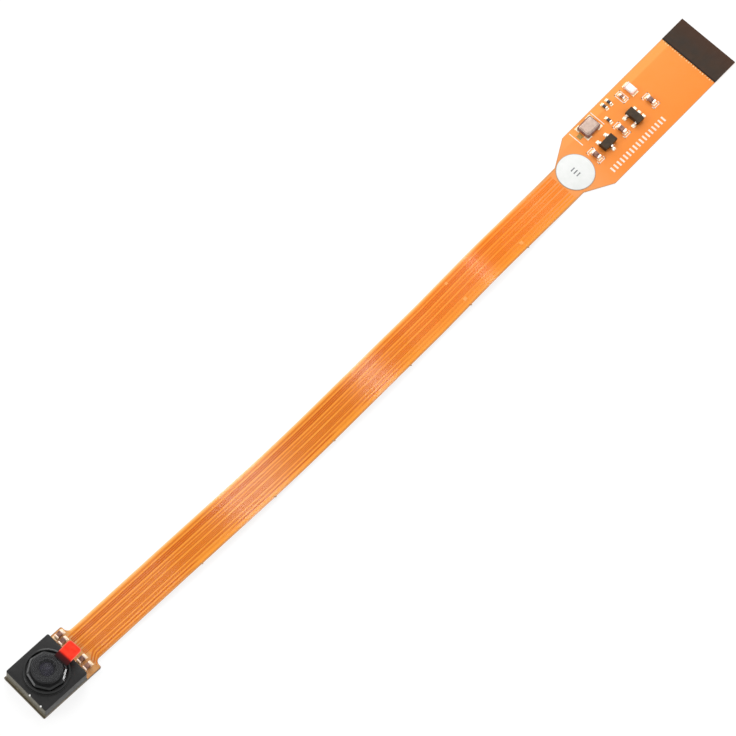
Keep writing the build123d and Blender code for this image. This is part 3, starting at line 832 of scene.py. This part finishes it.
# Plain surfaces: two tones, patch size, range of roughness, size and depth of the grain, other inputs
SURFACES = {
    "gold_contact": ((214, 160, 70), (240, 196, 110), 0.4, (0.2, 0.32), (0.05, 0.003), {"Metallic": 1.0}),
    "steel_plate": ((96, 86, 72), (122, 112, 96), 1.0, (0.32, 0.45), (0.06, 0.004), {"Metallic": 0.7}),
    "black_moulding": ((50, 38, 24), (68, 52, 34), 0.8, (0.36, 0.52), (0.1, 0.01), {SPECULAR: 0.2}),
    "black_barrel": ((18, 18, 19), (27, 27, 28), 0.6, (0.32, 0.42), (0.08, 0.0015), {SPECULAR: 0.25}),
    "sensor_silicon": ((60, 62, 78), (88, 84, 104), 0.6, (0.12, 0.2), (0.05, 0.001), {"Metallic": 0.6}),
    "filter_glass": ((190, 232, 226), (206, 240, 236), 2.0, (0.02, 0.05), None, {"IOR": 1.52}),
    "lens_clear": ((26, 25, 32), (42, 39, 52), 1.2, (0.45, 0.55), None, {SPECULAR: 0.2}),
    "clear_cover": ((150, 152, 158), (180, 182, 188), 1.5, (0.12, 0.2), None, {"Alpha": 0.012}),
    "tan_ceramic": ((78, 36, 32), (168, 120, 96), 0.7, (0.4, 0.55), (0.05, 0.006), {}),
    "tinned_metal": ((214, 204, 192), (246, 238, 228), 0.25, (0.2, 0.36), (0.1, 0.01), {"Metallic": 0.7}),
    "solder_pad": ((232, 204, 164), (250, 232, 204), 0.3, (0.24, 0.4), (0.1, 0.01), {"Metallic": 0.35}),
    "pink_tin": ((246, 196, 184), (252, 216, 206), 0.4, (0.25, 0.4), (0.1, 0.006), {"Metallic": 0.2}),
    "dark_ceramic": ((36, 30, 28), (56, 46, 42), 0.3, (0.3, 0.45), (0.05, 0.005), {}),
    "crystal_metal": ((174, 150, 136), (194, 170, 156), 0.9, (0.32, 0.46), (0.1, 0.003), {"Metallic": 0.35}),
    "white_moulding": ((240, 240, 238), (252, 252, 250), 0.5, (0.3, 0.45), (0.08, 0.006), {}),
    "white_ink": ((248, 222, 196), (254, 240, 224), 0.4, (0.45, 0.6), (0.06, 0.004), {}),
    "grey_ink": ((104, 106, 108), (140, 142, 144), 0.3, (0.5, 0.65), (0.06, 0.003), {}),
    "bare_pad": ((128, 98, 34), (156, 124, 56), 0.3, (0.3, 0.45), (0.06, 0.004), {"Metallic": 0.3}),
    "pale_stub": ((250, 180, 104), (254, 206, 142), 0.3, (0.3, 0.45), (0.06, 0.003), {}),
    "film_fleck": ((247, 156, 70), (252, 174, 92), 0.4, (0.2, 0.35), (0.1, 0.004), {SPECULAR: 0.2}),
    "film_burr": ((150, 108, 66), (186, 140, 92), 0.3, (0.4, 0.55), (0.06, 0.006), {}),
    "case_ceramic": ((104, 58, 48), (146, 98, 80), 0.5, (0.35, 0.5), (0.05, 0.005), {}),
    "cream_tin": ((232, 200, 176), (252, 236, 218), 0.3, (0.24, 0.4), (0.1, 0.01), {"Metallic": 0.35}),
    "polished_rim": ((24, 25, 25), (36, 37, 37), 0.6, (0.15, 0.22), None, {SPECULAR: 0.35}),
    "foot_glue": ((78, 70, 52), (112, 103, 82), 0.5, (0.3, 0.5), (0.2, 0.02), {}),
}
looks = {name: new_look(name, surface, *values) for name, values in SURFACES.items()}
for paint in (amber_film, film_copper, red_tab, housing_black, label_paper, brown_stiffener):
    looks[paint.__name__] = new_look(paint.__name__, paint)


# Film circuit


def film_rows():
    """Stations and half widths of the film's plan, from the head to the tail's end."""
    flat = CARRIER_END - CARRIER_CORNER - CARRIER_BACK
    rows = [(CARRIER_BACK + step * flat / CARRIER_ROWS, CARRIER_HALF) for step in range(CARRIER_ROWS)]
    for inward, short in quarter_arc(CORNER_STEPS):
        rows.append((CARRIER_END - CARRIER_CORNER * short, CARRIER_HALF - CARRIER_CORNER * inward))
    for inward, short in quarter_arc(NOTCH_STEPS):
        rows.append((CARRIER_END + NOTCH_RADIUS * inward, RIBBON_HALF + NOTCH_RADIUS * short))
    first = CARRIER_END + NOTCH_RADIUS
    run = FLARE_START - first
    rows += [(first + run * step / RIBBON_ROWS, RIBBON_HALF) for step in range(1, RIBBON_ROWS + 1)]
    for step in range(1, FLARE_ROWS + 1):
        share = step / FLARE_ROWS
        rows.append((FLARE_START + FLARE_LENGTH * share, RIBBON_HALF + (TAIL_HALF - RIBBON_HALF) * share))
    flare_end = FLARE_START + FLARE_LENGTH
    run = TAIL_REACH - FLARE_LENGTH
    rows += [(flare_end + run * step / TAIL_ROWS, TAIL_HALF) for step in range(1, TAIL_ROWS + 1)]
    return rows


def build_film():
    """The whole film as one fine sheet with rounded waves, a top, an underside and edges."""
    shares = both_sides(FILM_SHARES)
    bm = bmesh.new()
    places = []
    grids = []
    tail_end = FLARE_START + TAIL_REACH
    for lift in (FILM_THICK, FINGER_PROUD):
        grid = []
        for station, half in film_rows():
            line = []
            for share in shares:
                line.append(bm.verts.new(film_point(station, share * half, lift)))
                edge = min(half * (1 - abs(share)), station - CARRIER_BACK, tail_end - station)
                places.append((station, share * half, edge))
            grid.append(line)
        grids.append(grid)
    for grid in grids:
        for near, far in zip(grid, grid[1:]):
            for index in range(len(shares) - 1):
                bm.faces.new((near[index], near[index + 1], far[index + 1], far[index]))
    top, under = grids
    for side in (0, -1):
        for row in range(len(top) - 1):
            bm.faces.new((top[row][side], top[row + 1][side], under[row + 1][side], under[row][side]))
    for end in (0, -1):
        for index in range(len(shares) - 1):
            bm.faces.new((top[end][index], top[end][index + 1], under[end][index + 1], under[end][index]))
    piece = finish_piece("film_sheet", bm, "amber_film", "amber_film", "film_circuit")
    store_sheet_places(piece.data, places)


def trace_lines():
    """Left and right offset, darkness and jog of each single trace."""
    lines = []
    for number, (left, right, count, dark) in enumerate(TRACE_BANDS):
        width = (left - right - LINE_GAP * (count - 1)) / count
        for index in range(count):
            start = left - index * (width + LINE_GAP)
            lines.append((start, start - width, dark, number >= len(TRACE_BANDS) - JOGGED_BANDS))
    return lines


def build_traces():
    """Raised traces along the ribbon; those at the right edge jog outwards onto the carrier."""
    bm = bmesh.new()
    places = []
    run = TRACE_END - TRACE_START
    stations = [TRACE_START + run * step / RIBBON_ROWS for step in range(RIBBON_ROWS + 1)]
    for left, right, dark, jogged in trace_lines():
        top = ((left - TRACE_SLOPE, TRACE_RISE), (right + TRACE_SLOPE, TRACE_RISE))
        section = ((left, -FILM_SINK), *top, (right, -FILM_SINK))
        rows = []
        for station in stations:
            move = JOG_SHIFT * (1 - min((station - TRACE_START) / JOG_LENGTH, 1.0)) if jogged else 0.0
            row = []
            for offset, rise in section:
                row.append(film_point(station, offset - move, FILM_THICK, rise))
                places.append((station, offset - move, dark))
            rows.append(row)
        loft(bm, rows, closed=False)
    piece = finish_piece("film_traces", bm, "film_copper", "film_copper", "copper_traces")
    store_sheet_places(piece.data, places)


# Camera head


def polish_rim(piece, low, high):
    """Smoother finish on the sloping faces between two heights."""
    piece.data.materials.append(looks["polished_rim"])
    for face in piece.data.polygons:
        sloping = RIM_SLOPE[0] < face.normal.z < RIM_SLOPE[1]
        if sloping and low * MM < face.center.z < high * MM:
            face.material_index = 1


def build_holder():
    """Moulded housing: rounded square body, collar, counterbore, bore and the sensor room below."""
    bearings = [atan2(y, x) for x, y, z in rounded_ring(HEAD_HALF, HEAD_HALF, HOLDER_CORNER, 0)]
    rows = [rounded_ring(HEAD_HALF, HEAD_HALF, HOLDER_CORNER, HEAD_TOP)]
    for inward, short in quarter_arc(HOLDER_STEPS):
        half = HEAD_HALF - HOLDER_EDGE * inward
        rows.append(rounded_ring(half, half, HOLDER_CORNER, HOLDER_TOP - HOLDER_EDGE * short))
    rim_foot = COLLAR_TOP - COLLAR_DROP
    circles = (
        (COLLAR_RADIUS + COLLAR_BEND, HOLDER_TOP),
        (COLLAR_RADIUS, HOLDER_TOP + COLLAR_BEND),
        (COLLAR_RADIUS, rim_foot),
        (COLLAR_RADIUS - COLLAR_INSET, COLLAR_TOP),
        (COUNTERBORE_RADIUS + BORE_EDGE, COLLAR_TOP),
        (COUNTERBORE_RADIUS, COLLAR_TOP - BORE_EDGE),
        (COUNTERBORE_RADIUS, COUNTERBORE_FLOOR),
        (THREAD_RADIUS + THREAD_CLEARANCE, COUNTERBORE_FLOOR),
        (THREAD_RADIUS + THREAD_CLEARANCE, WEB_TOP),
    )
    rows += [circle_ring(radius, level, bearings) for radius, level in circles]
    rows += [rounded_ring(*WEB_WINDOW, WINDOW_CORNER, level) for level in (WEB_TOP, WEB_FOOT)]
    rows += [rounded_ring(ROOM_HALF, ROOM_HALF, HOLDER_CORNER, level) for level in (WEB_FOOT, HEAD_TOP)]
    bm = bmesh.new()
    loft(bm, rows)
    piece = finish_piece("housing_shell", bm, "housing_black", "black_moulding", "lens_holder")
    polish_rim(piece, rim_foot, COLLAR_TOP)


def build_barrel():
    """Turned barrel: threaded body, eight-sided flange with a bright rim, and a round, dished nose."""
    around = even_bearings(BARREL_POINTS)
    groove = THREAD_RADIUS - THREAD_DEPTH
    pitch = (FLANGE_FOOT - BARREL_FOOT) / THREAD_TURNS
    below = [(LENS_BORE_RADIUS, BARREL_FOOT)]
    for turn in range(THREAD_TURNS):
        level = BARREL_FOOT + turn * pitch
        below += [(groove, level), (THREAD_RADIUS, level + pitch / 2)]
    below.append((groove, FLANGE_FOOT))
    rim_foot = NOSE_FOOT - RIM_DROP
    undercut, rise = FLANGE_UNDERCUT
    flange = ((undercut, FLANGE_FOOT), (0.0, FLANGE_FOOT + rise), (0.0, rim_foot), (RIM_INSET, NOSE_FOOT))
    front = NOSE_TOP - COVER_GAP
    above = [(NOSE_RADIUS, NOSE_FOOT)]
    for inward, short in quarter_arc(NOSE_STEPS):
        above.append((NOSE_RADIUS - NOSE_EDGE * inward, front - NOSE_EDGE * short))
    above += [(DISH_RADIUS, front), (DISH_RADIUS - DISH_DRAFT, DISH_FLOOR), (CONE_RADIUS, DISH_FLOOR)]
    for step in range(1, CONE_STEPS + 1):
        radius = CONE_RADIUS + (APERTURE_RADIUS - CONE_RADIUS) * step / CONE_STEPS
        level = DISH_FLOOR + (LENS_SEAT - DISH_FLOOR) * step / CONE_STEPS
        above += [(radius + CONE_LEDGE, level), (radius, level)]
    above.append((LENS_BORE_RADIUS, LENS_SEAT))
    rows = [circle_ring(radius, level, around) for radius, level in below]
    rows += [sided_ring(FLANGE_FLATS - 2 * inset, level, around) for inset, level in flange]
    rows += [circle_ring(radius, level, around) for radius, level in above]
    bm = bmesh.new()
    loft(bm, rows)
    piece = finish_piece("barrel_shell", bm, "black_barrel", "black_barrel", "lens_barrel")
    polish_rim(piece, rim_foot, NOSE_FOOT)


def build_glue():
    """Thin bead of glue round the housing's foot, and two white dots on the housing's rear edge that are
    painted glints.
    """
    bm = bmesh.new()
    rows = []
    for reach, rise in GLUE_SECTION:
        rows.append(rounded_ring(HEAD_HALF + reach, HEAD_HALF + reach, HOLDER_CORNER, HEAD_TOP + rise))
    loft(bm, rows)
    finish_piece("housing_glue", bm, "foot_glue", "black_moulding")
    # White dots: painted glints on the rear edge
    dots = bmesh.new()
    around = even_bearings(DOT_POINTS)
    lean = Matrix.Rotation(-pi / 4, 4, "Y")
    for offset in DOT_OFFSETS:
        place = shift(-HEAD_HALF + DOT_INSET, offset, HOLDER_TOP - DOT_DROP) @ lean
        rows = [circle_ring(radius, rise, around) for radius, rise in DOT_SECTION]
        loft(dots, rows, place, closed=False)
    finish_piece("edge_dots", dots, "white_moulding", "white_moulding")


def build_pull_tab():
    """Red tab on the protective film's tongue, with rounded far corners."""
    place = turned(TAB_TURN) @ shift(0, TAB_OFFSET, TAB_LEVEL)
    straight = TAB_END - TAB_CORNER - TAB_START
    steps = [(TAB_START + straight * step / TAB_ROWS, TAB_HALF) for step in range(TAB_ROWS + 1)]
    for inward, short in quarter_arc(TAB_CORNER_STEPS)[1:]:
        steps.append((TAB_END - TAB_CORNER * short, TAB_HALF - TAB_CORNER * inward))
    bm = bmesh.new()
    places = []
    rows = []
    for along, half in steps:
        offsets = [share * half for share in both_sides(TAB_SHARES)]
        ring = [(offset, TAB_THICK) for offset in offsets]
        ring += [(offset, 0.0) for offset in reversed(offsets)]
        rows.append([(along, offset, level) for offset, level in ring])
        edge = TAB_END - along
        places += [(along, offset, min(half - abs(offset), edge)) for offset, level in ring]
    loft(bm, rows, place, closed=False)
    piece = finish_piece("tab_leaf", bm, "red_tab", "red_tab", "pull_tab")
    store_sheet_places(piece.data, places)


# Chips and the crystal


def add_chips(size, places, bodies, ends, solder):
    """Two-ended chips at their places, with a solder fillet at each end."""
    length, width, height, end = size
    middle = PAD_THICK + height / 2
    for place in places:
        core = (length - 2 * end + CORE_LAP, width - CORE_INSET, height - CORE_INSET)
        rounded_block(bodies, core, CORE_EDGE, place @ shift(0, 0, middle))
        for turn in (0, pi):
            half = place @ turned(turn)
            rounded_block(ends, (end, width, height), END_EDGE, half @ shift((length - end) / 2, 0, middle))
            toe = half @ shift(length / 2 - TOE_LAP, 0, PAD_THICK - TOE_SINK)
            solder_fillet(solder, toe, width, PAD_TOE * FILLET_REACH, height * FILLET_RISE)


def build_chip_group(name, size, places, body_look, end_look, body_node, end_node, solder):
    """One group of equal chips: its bodies and its ends."""
    bodies = bmesh.new()
    ends = bmesh.new()
    add_chips(size, places, bodies, ends, solder)
    finish_piece(f"{name}_cores", bodies, body_look, body_look, body_node)
    finish_piece(f"{name}_caps", ends, end_look, "tinned_metal", end_node)


def build_chips():
    """All chips on the head and the tail."""
    solder = bmesh.new()
    at_head = [shift(*spot, HEAD_TOP) for spot in HEAD_CHIP_SPOTS]
    large_at = [on_tail(along, CENTRE_OFFSET, turn=90) for along in LARGE_CHIPS_ALONG]
    flat_at = [on_tail(*spot, turn=90) for spot in FLAT_CHIP_SPOTS]
    left_at = [on_tail(*LEFT_CHIP_SPOT, turn=90)]
    light_at = [on_tail(*LIGHT_CHIP_SPOT, turn=90)]
    tan = "tan_ceramic"
    white = "white_moulding"
    tin = "tinned_metal"
    groups = (
        ("head_chip", HEAD_CHIP, at_head, tan, "cream_tin", "head_capacitor_bodies", "head_capacitor_ends"),
        ("large_chip", LARGE_CHIP, large_at, tan, tin, "tail_capacitor_bodies", "tail_capacitor_ends"),
        ("left_chip", SMALL_CHIP, left_at, tan, tin, "left_capacitor_body", "left_capacitor_ends"),
        ("flat_chip", FLAT_CHIP, flat_at, "dark_ceramic", tin, "resistor_bodies", "resistor_ends"),
        ("light_chip", LIGHT_CHIP, light_at, white, "pink_tin", "light_chip_body", "light_chip_ends"),
    )
    for group in groups:
        build_chip_group(*group, solder)
    for along, turn, front_rows, back_rows in REGULATORS:
        place = on_tail(along, CENTRE_OFFSET, turn=turn)
        for side, rows in ((0, front_rows), (pi, back_rows)):
            for row in rows:
                reach = shift(LEAD_TOE - LEAD_FOOT / 2, row * LEAD_PITCH, 0)
                foot = place @ turned(side) @ reach
                solder_mound(solder, foot, *MOUND_SIZE)
    finish_piece("solder_fillets", solder, "solder_pad", "solder_pad")


def build_crystal():
    """Crystal: ceramic case and a pressed metal lid with a flat welding rim."""
    place = on_tail(*CRYSTAL_SPOT)
    case_top = PAD_THICK + CRYSTAL_HEIGHT
    case = bmesh.new()
    levels = (PAD_THICK, case_top - CRYSTAL_EDGE)
    rows = [rounded_ring(*CRYSTAL_HALF, CRYSTAL_CORNER, level) for level in levels]
    inner = [half - CRYSTAL_EDGE for half in CRYSTAL_HALF]
    rows.append(rounded_ring(*inner, CRYSTAL_TOP_CORNER, case_top))
    loft(case, rows, place, closed=False)
    finish_piece("crystal_base", case, "case_ceramic", "dark_ceramic", "crystal_case")
    lid = bmesh.new()
    rows = []
    for inset, rise in LID_SECTION:
        inner = [half - inset for half in CRYSTAL_LID_HALF]
        rows.append(rounded_ring(*inner, LID_CORNER, case_top + rise))
    loft(lid, rows, place, closed=False)
    finish_piece("crystal_cover", lid, "crystal_metal", "crystal_metal", "crystal_lid")


def build_label():
    """Round paper label with a soft edge."""
    around = even_bearings(LABEL_POINTS)
    place = on_tail(*LABEL_SPOT)
    bm = bmesh.new()
    rows = [circle_ring(LABEL_RADIUS - inset, rise, around) for inset, rise in LABEL_SECTION]
    loft(bm, rows, place, closed=False)
    finish_piece("label_disc", bm, "label_paper", "label_paper", "round_label")


# Print


def ink_line(bm, start, end, width=INK_WIDTH, place=on_tail(0, 0)):
    """Straight printed line between two places on the tail."""
    first = Vector(start)
    last = Vector(end)
    run = last - first
    side = Vector((-run.y, run.x)).normalized() * width / 2
    outline = [tuple(point) for point in (first - side, last - side, last + side, first + side)]
    slab(bm, outline, -INK_SINK, INK_THICK, place)


def ink_path(bm, points, closed=False):
    """Printed line through several places on the tail, with square corners."""
    points = [Vector(point) for point in points]
    ends = points[1:] + points[:1] if closed else points[1:]
    for start, end in zip(points, ends):
        reach = (end - start).normalized() * INK_WIDTH / 2
        ink_line(bm, start - reach, end + reach)


def box_corners(along, offset, half_along, half_across):
    """Four corners of a box on the tail."""
    signs = ((-1, -1), (1, -1), (1, 1), (-1, 1))
    return [(along + i * half_along, offset + j * half_across) for i, j in signs]


def build_print():
    """Printed outlines of the tail's parts, and a row of plain bars where the tail carries print."""
    bm = bmesh.new()
    for along in CRYSTAL_LINES:
        ink_line(bm, *[(along, offset) for offset in CRYSTAL_LINE_SPAN])
    ink_path(bm, box_corners(*LEFT_CHIP_SPOT, *LEFT_CHIP_BOX), closed=True)
    for along in LARGE_CHIPS_ALONG:
        for side in (-1, 1):
            near, far = [CENTRE_OFFSET + side * reach for reach in BRACKET_REACH]
            back = along - BRACKET_HALF
            front = along + BRACKET_HALF
            ink_path(bm, ((back, near), (back, far), (front, far), (front, near)))
    count = round((BAR_ROW[1] - BAR_ROW[0]) / BAR_PITCH)
    for index in range(count + 1):
        along = BAR_ROW[0] + index * BAR_PITCH
        ink_line(bm, (along, BAR_ROW_OFFSET - BAR_HALF), (along, BAR_ROW_OFFSET + BAR_HALF), BAR_WIDTH)
    finish_piece("tail_print", bm, "white_ink", "label_paper")


def build_label_print():
    """Plain grey bars in the middle of the label."""
    bm = bmesh.new()
    place = on_tail(*LABEL_SPOT, FILM_THICK + LABEL_THICK)
    for step in (-1, 0, 1):
        across = LABEL_BAR_PITCH * step
        ink_line(bm, (-LABEL_BAR_HALF, across), (LABEL_BAR_HALF, across), LABEL_BAR_WIDTH, place)
    finish_piece("label_print", bm, "grey_ink", "label_paper")


def build_bare_pads():
    """Bare metal pad beside the crystal."""
    bm = bmesh.new()
    slab(bm, box_corners(*BARE_PAD), -INK_SINK, PAD_THICK, on_tail(0, 0))
    finish_piece("bare_pads", bm, "bare_pad", "solder_pad")


def build_contact_stubs():
    """Ends of the contact traces, just short of the stiffener."""
    bm = bmesh.new()
    for index in range(CONTACT_COUNT):
        offset = (index - (CONTACT_COUNT - 1) / 2) * CONTACT_PITCH
        reach = STUB_LONG if index % 3 else STUB_SHORT
        ink_line(bm, (STIFFENER_START - reach, offset), (STIFFENER_START - STUB_GAP, offset), STUB_WIDTH)
    finish_piece("contact_stubs", bm, "pale_stub", "film_copper")


def build_nicks():
    """Small burrs on the film's right edge, where it was cut from its panel."""
    bm = bmesh.new()
    for station in NICK_STATIONS:
        x, y, level = film_point(station, -RIBBON_HALF, FILM_THICK / 2)
        turn = turned(NICK_TURN)
        rounded_block(bm, NICK_SIZE, NICK_EDGE, shift(x, y + NICK_INSET, level) @ turn)
    finish_piece("edge_nicks", bm, "film_burr", "amber_film")


def build_flecks():
    """Small pale patches of the cover layer over the traces."""
    bm = bmesh.new()
    for station, offset, half in FLECKS:
        flat = half - FLECK_SLOPE
        section = ((half, -FILM_SINK), (flat, FLECK_RISE), (-flat, FLECK_RISE), (-half, -FILM_SINK))
        rows = []
        for along in (-half, 0.0, half):
            place = station + along
            rows.append([film_point(place, offset + across, FILM_THICK, rise) for across, rise in section])
        loft(bm, rows, closed=False)
    finish_piece("film_flecks", bm, "film_fleck", "amber_film")


# Solids that show, camera and stage


def dress_nodes():
    """Give each solid of the model that still shows the look of its material slot."""
    for row in frame["record"]["subparts"]:
        mesh = nodes[row["node"]].data
        mesh.materials.clear()
        mesh.materials.append(looks[row["material_slot"]])
    for name, width in ROUNDED_NODES.items():
        edge = nodes[name].modifiers.new("edge", "BEVEL")
        edge.width = width * MM
        edge.segments = ROUNDING_SEGMENTS
        edge.limit_method = "ANGLE"
        edge.angle_limit = ROUNDING_ANGLE


def aim_camera():
    """Camera at the place fitted to the photograph."""
    data = bpy.data.cameras.new("camera")
    data.sensor_width = SENSOR_WIDTH
    data.lens = FOCAL_PIXELS * SENSOR_WIDTH / PICTURE_PIXELS
    data.clip_start, data.clip_end = CLIP_RANGE
    across = Vector((cos(CAMERA_TURN), -sin(CAMERA_TURN), 0))
    away = Vector((sin(CAMERA_TURN), cos(CAMERA_TURN), 0))
    upward = Vector((0, 0, 1))
    aim = across * CAMERA_AIM[0] + away * CAMERA_AIM[1]
    forward = away * sin(CAMERA_TILT) - upward * cos(CAMERA_TILT)
    above = away * cos(CAMERA_TILT) + upward * sin(CAMERA_TILT)
    right = across * cos(CAMERA_ROLL) + above * sin(CAMERA_ROLL)
    up = above * cos(CAMERA_ROLL) - across * sin(CAMERA_ROLL)
    camera = add_object("camera", data)
    turn = Matrix((right, up, -forward)).transposed().to_4x4()
    camera.matrix_world = shift(*(aim - forward * CAMERA_DISTANCE) * MM) @ turn
    bpy.context.scene.camera = camera


def add_panel(name, direction, distance, size, power, target):
    """Soft rectangular lamp in a direction from a point of the object, facing it."""
    data = bpy.data.lights.new(name, "AREA")
    data.shape = "RECTANGLE"
    data.size, data.size_y = size
    data.energy = power
    lamp = add_object(name, data)
    toward = Vector(direction).normalized()
    lamp.location = Vector(target) * MM + toward * distance
    lamp.rotation_euler = toward.to_track_quat("Z", "Y").to_euler()


def seen_share(tree):
    """1 for rays that show the backdrop: straight from the camera, or by a reflection or glass."""
    path = add_node(tree, "LightPath").outputs
    mirrored = compute(tree, "MAXIMUM", path["Is Glossy Ray"], path["Is Transmission Ray"])
    return compute(tree, "MAXIMUM", mirrored, path["Is Camera Ray"])


def show_backdrop(tree, kind, unseen, seen):
    """Give one shader to rays that show the backdrop, and the other to the rest."""
    output = add_node(tree, kind)
    choice = {0: seen_share(tree), 1: unseen.outputs[0], 2: seen.outputs[0]}
    mixed = add_node(tree, "MixShader", choice)
    tree.links.new(mixed.outputs[0], output.inputs["Surface"])


def build_table():
    """White table, which keeps the object's shadow."""
    mesh = bpy.data.meshes.new("table")
    bm = bmesh.new()
    bmesh.ops.create_grid(bm, x_segments=1, y_segments=1, size=TABLE_HALF)
    bm.to_mesh(mesh)
    bm.free()
    table = add_object("table", mesh)
    table.location = TABLE_PLACE
    material = bpy.data.materials.new("table_white")
    material.use_nodes = True
    tree = material.node_tree
    tree.nodes.clear()
    plain = add_node(tree, "BsdfDiffuse", {"Color": TABLE_GREY})
    dim = add_node(tree, "BsdfDiffuse", {"Color": SHADOW_GREY})
    glow = add_node(tree, "Emission", {"Color": WHITE, "Strength": TABLE_GLOW})
    lit = add_node(tree, "AddShader", {0: dim.outputs[0], 1: glow.outputs[0]})
    show_backdrop(tree, "OutputMaterial", plain, lit)
    mesh.materials.append(material)


def build_surroundings():
    """White surroundings, which light the object more softly than they look."""
    world = bpy.data.worlds.new("surroundings")
    world.use_nodes = True
    bpy.context.scene.world = world
    tree = world.node_tree
    tree.nodes.clear()
    soft = add_node(tree, "Background", {"Color": WHITE, "Strength": SOFT_STRENGTH})
    white = add_node(tree, "Background", {"Color": WHITE, "Strength": 1.0})
    show_backdrop(tree, "OutputWorld", soft, white)


build_film()
build_traces()
build_holder()
build_barrel()
build_glue()
build_pull_tab()
build_chips()
build_crystal()
build_label()
build_print()
build_label_print()
build_bare_pads()
build_contact_stubs()
build_nicks()
build_flecks()
dress_nodes()
aim_camera()
build_table()
build_surroundings()
for name, values in LAMPS.items():
    add_panel(name, *values)
bpy.context.scene.view_settings.view_transform = "Standard"
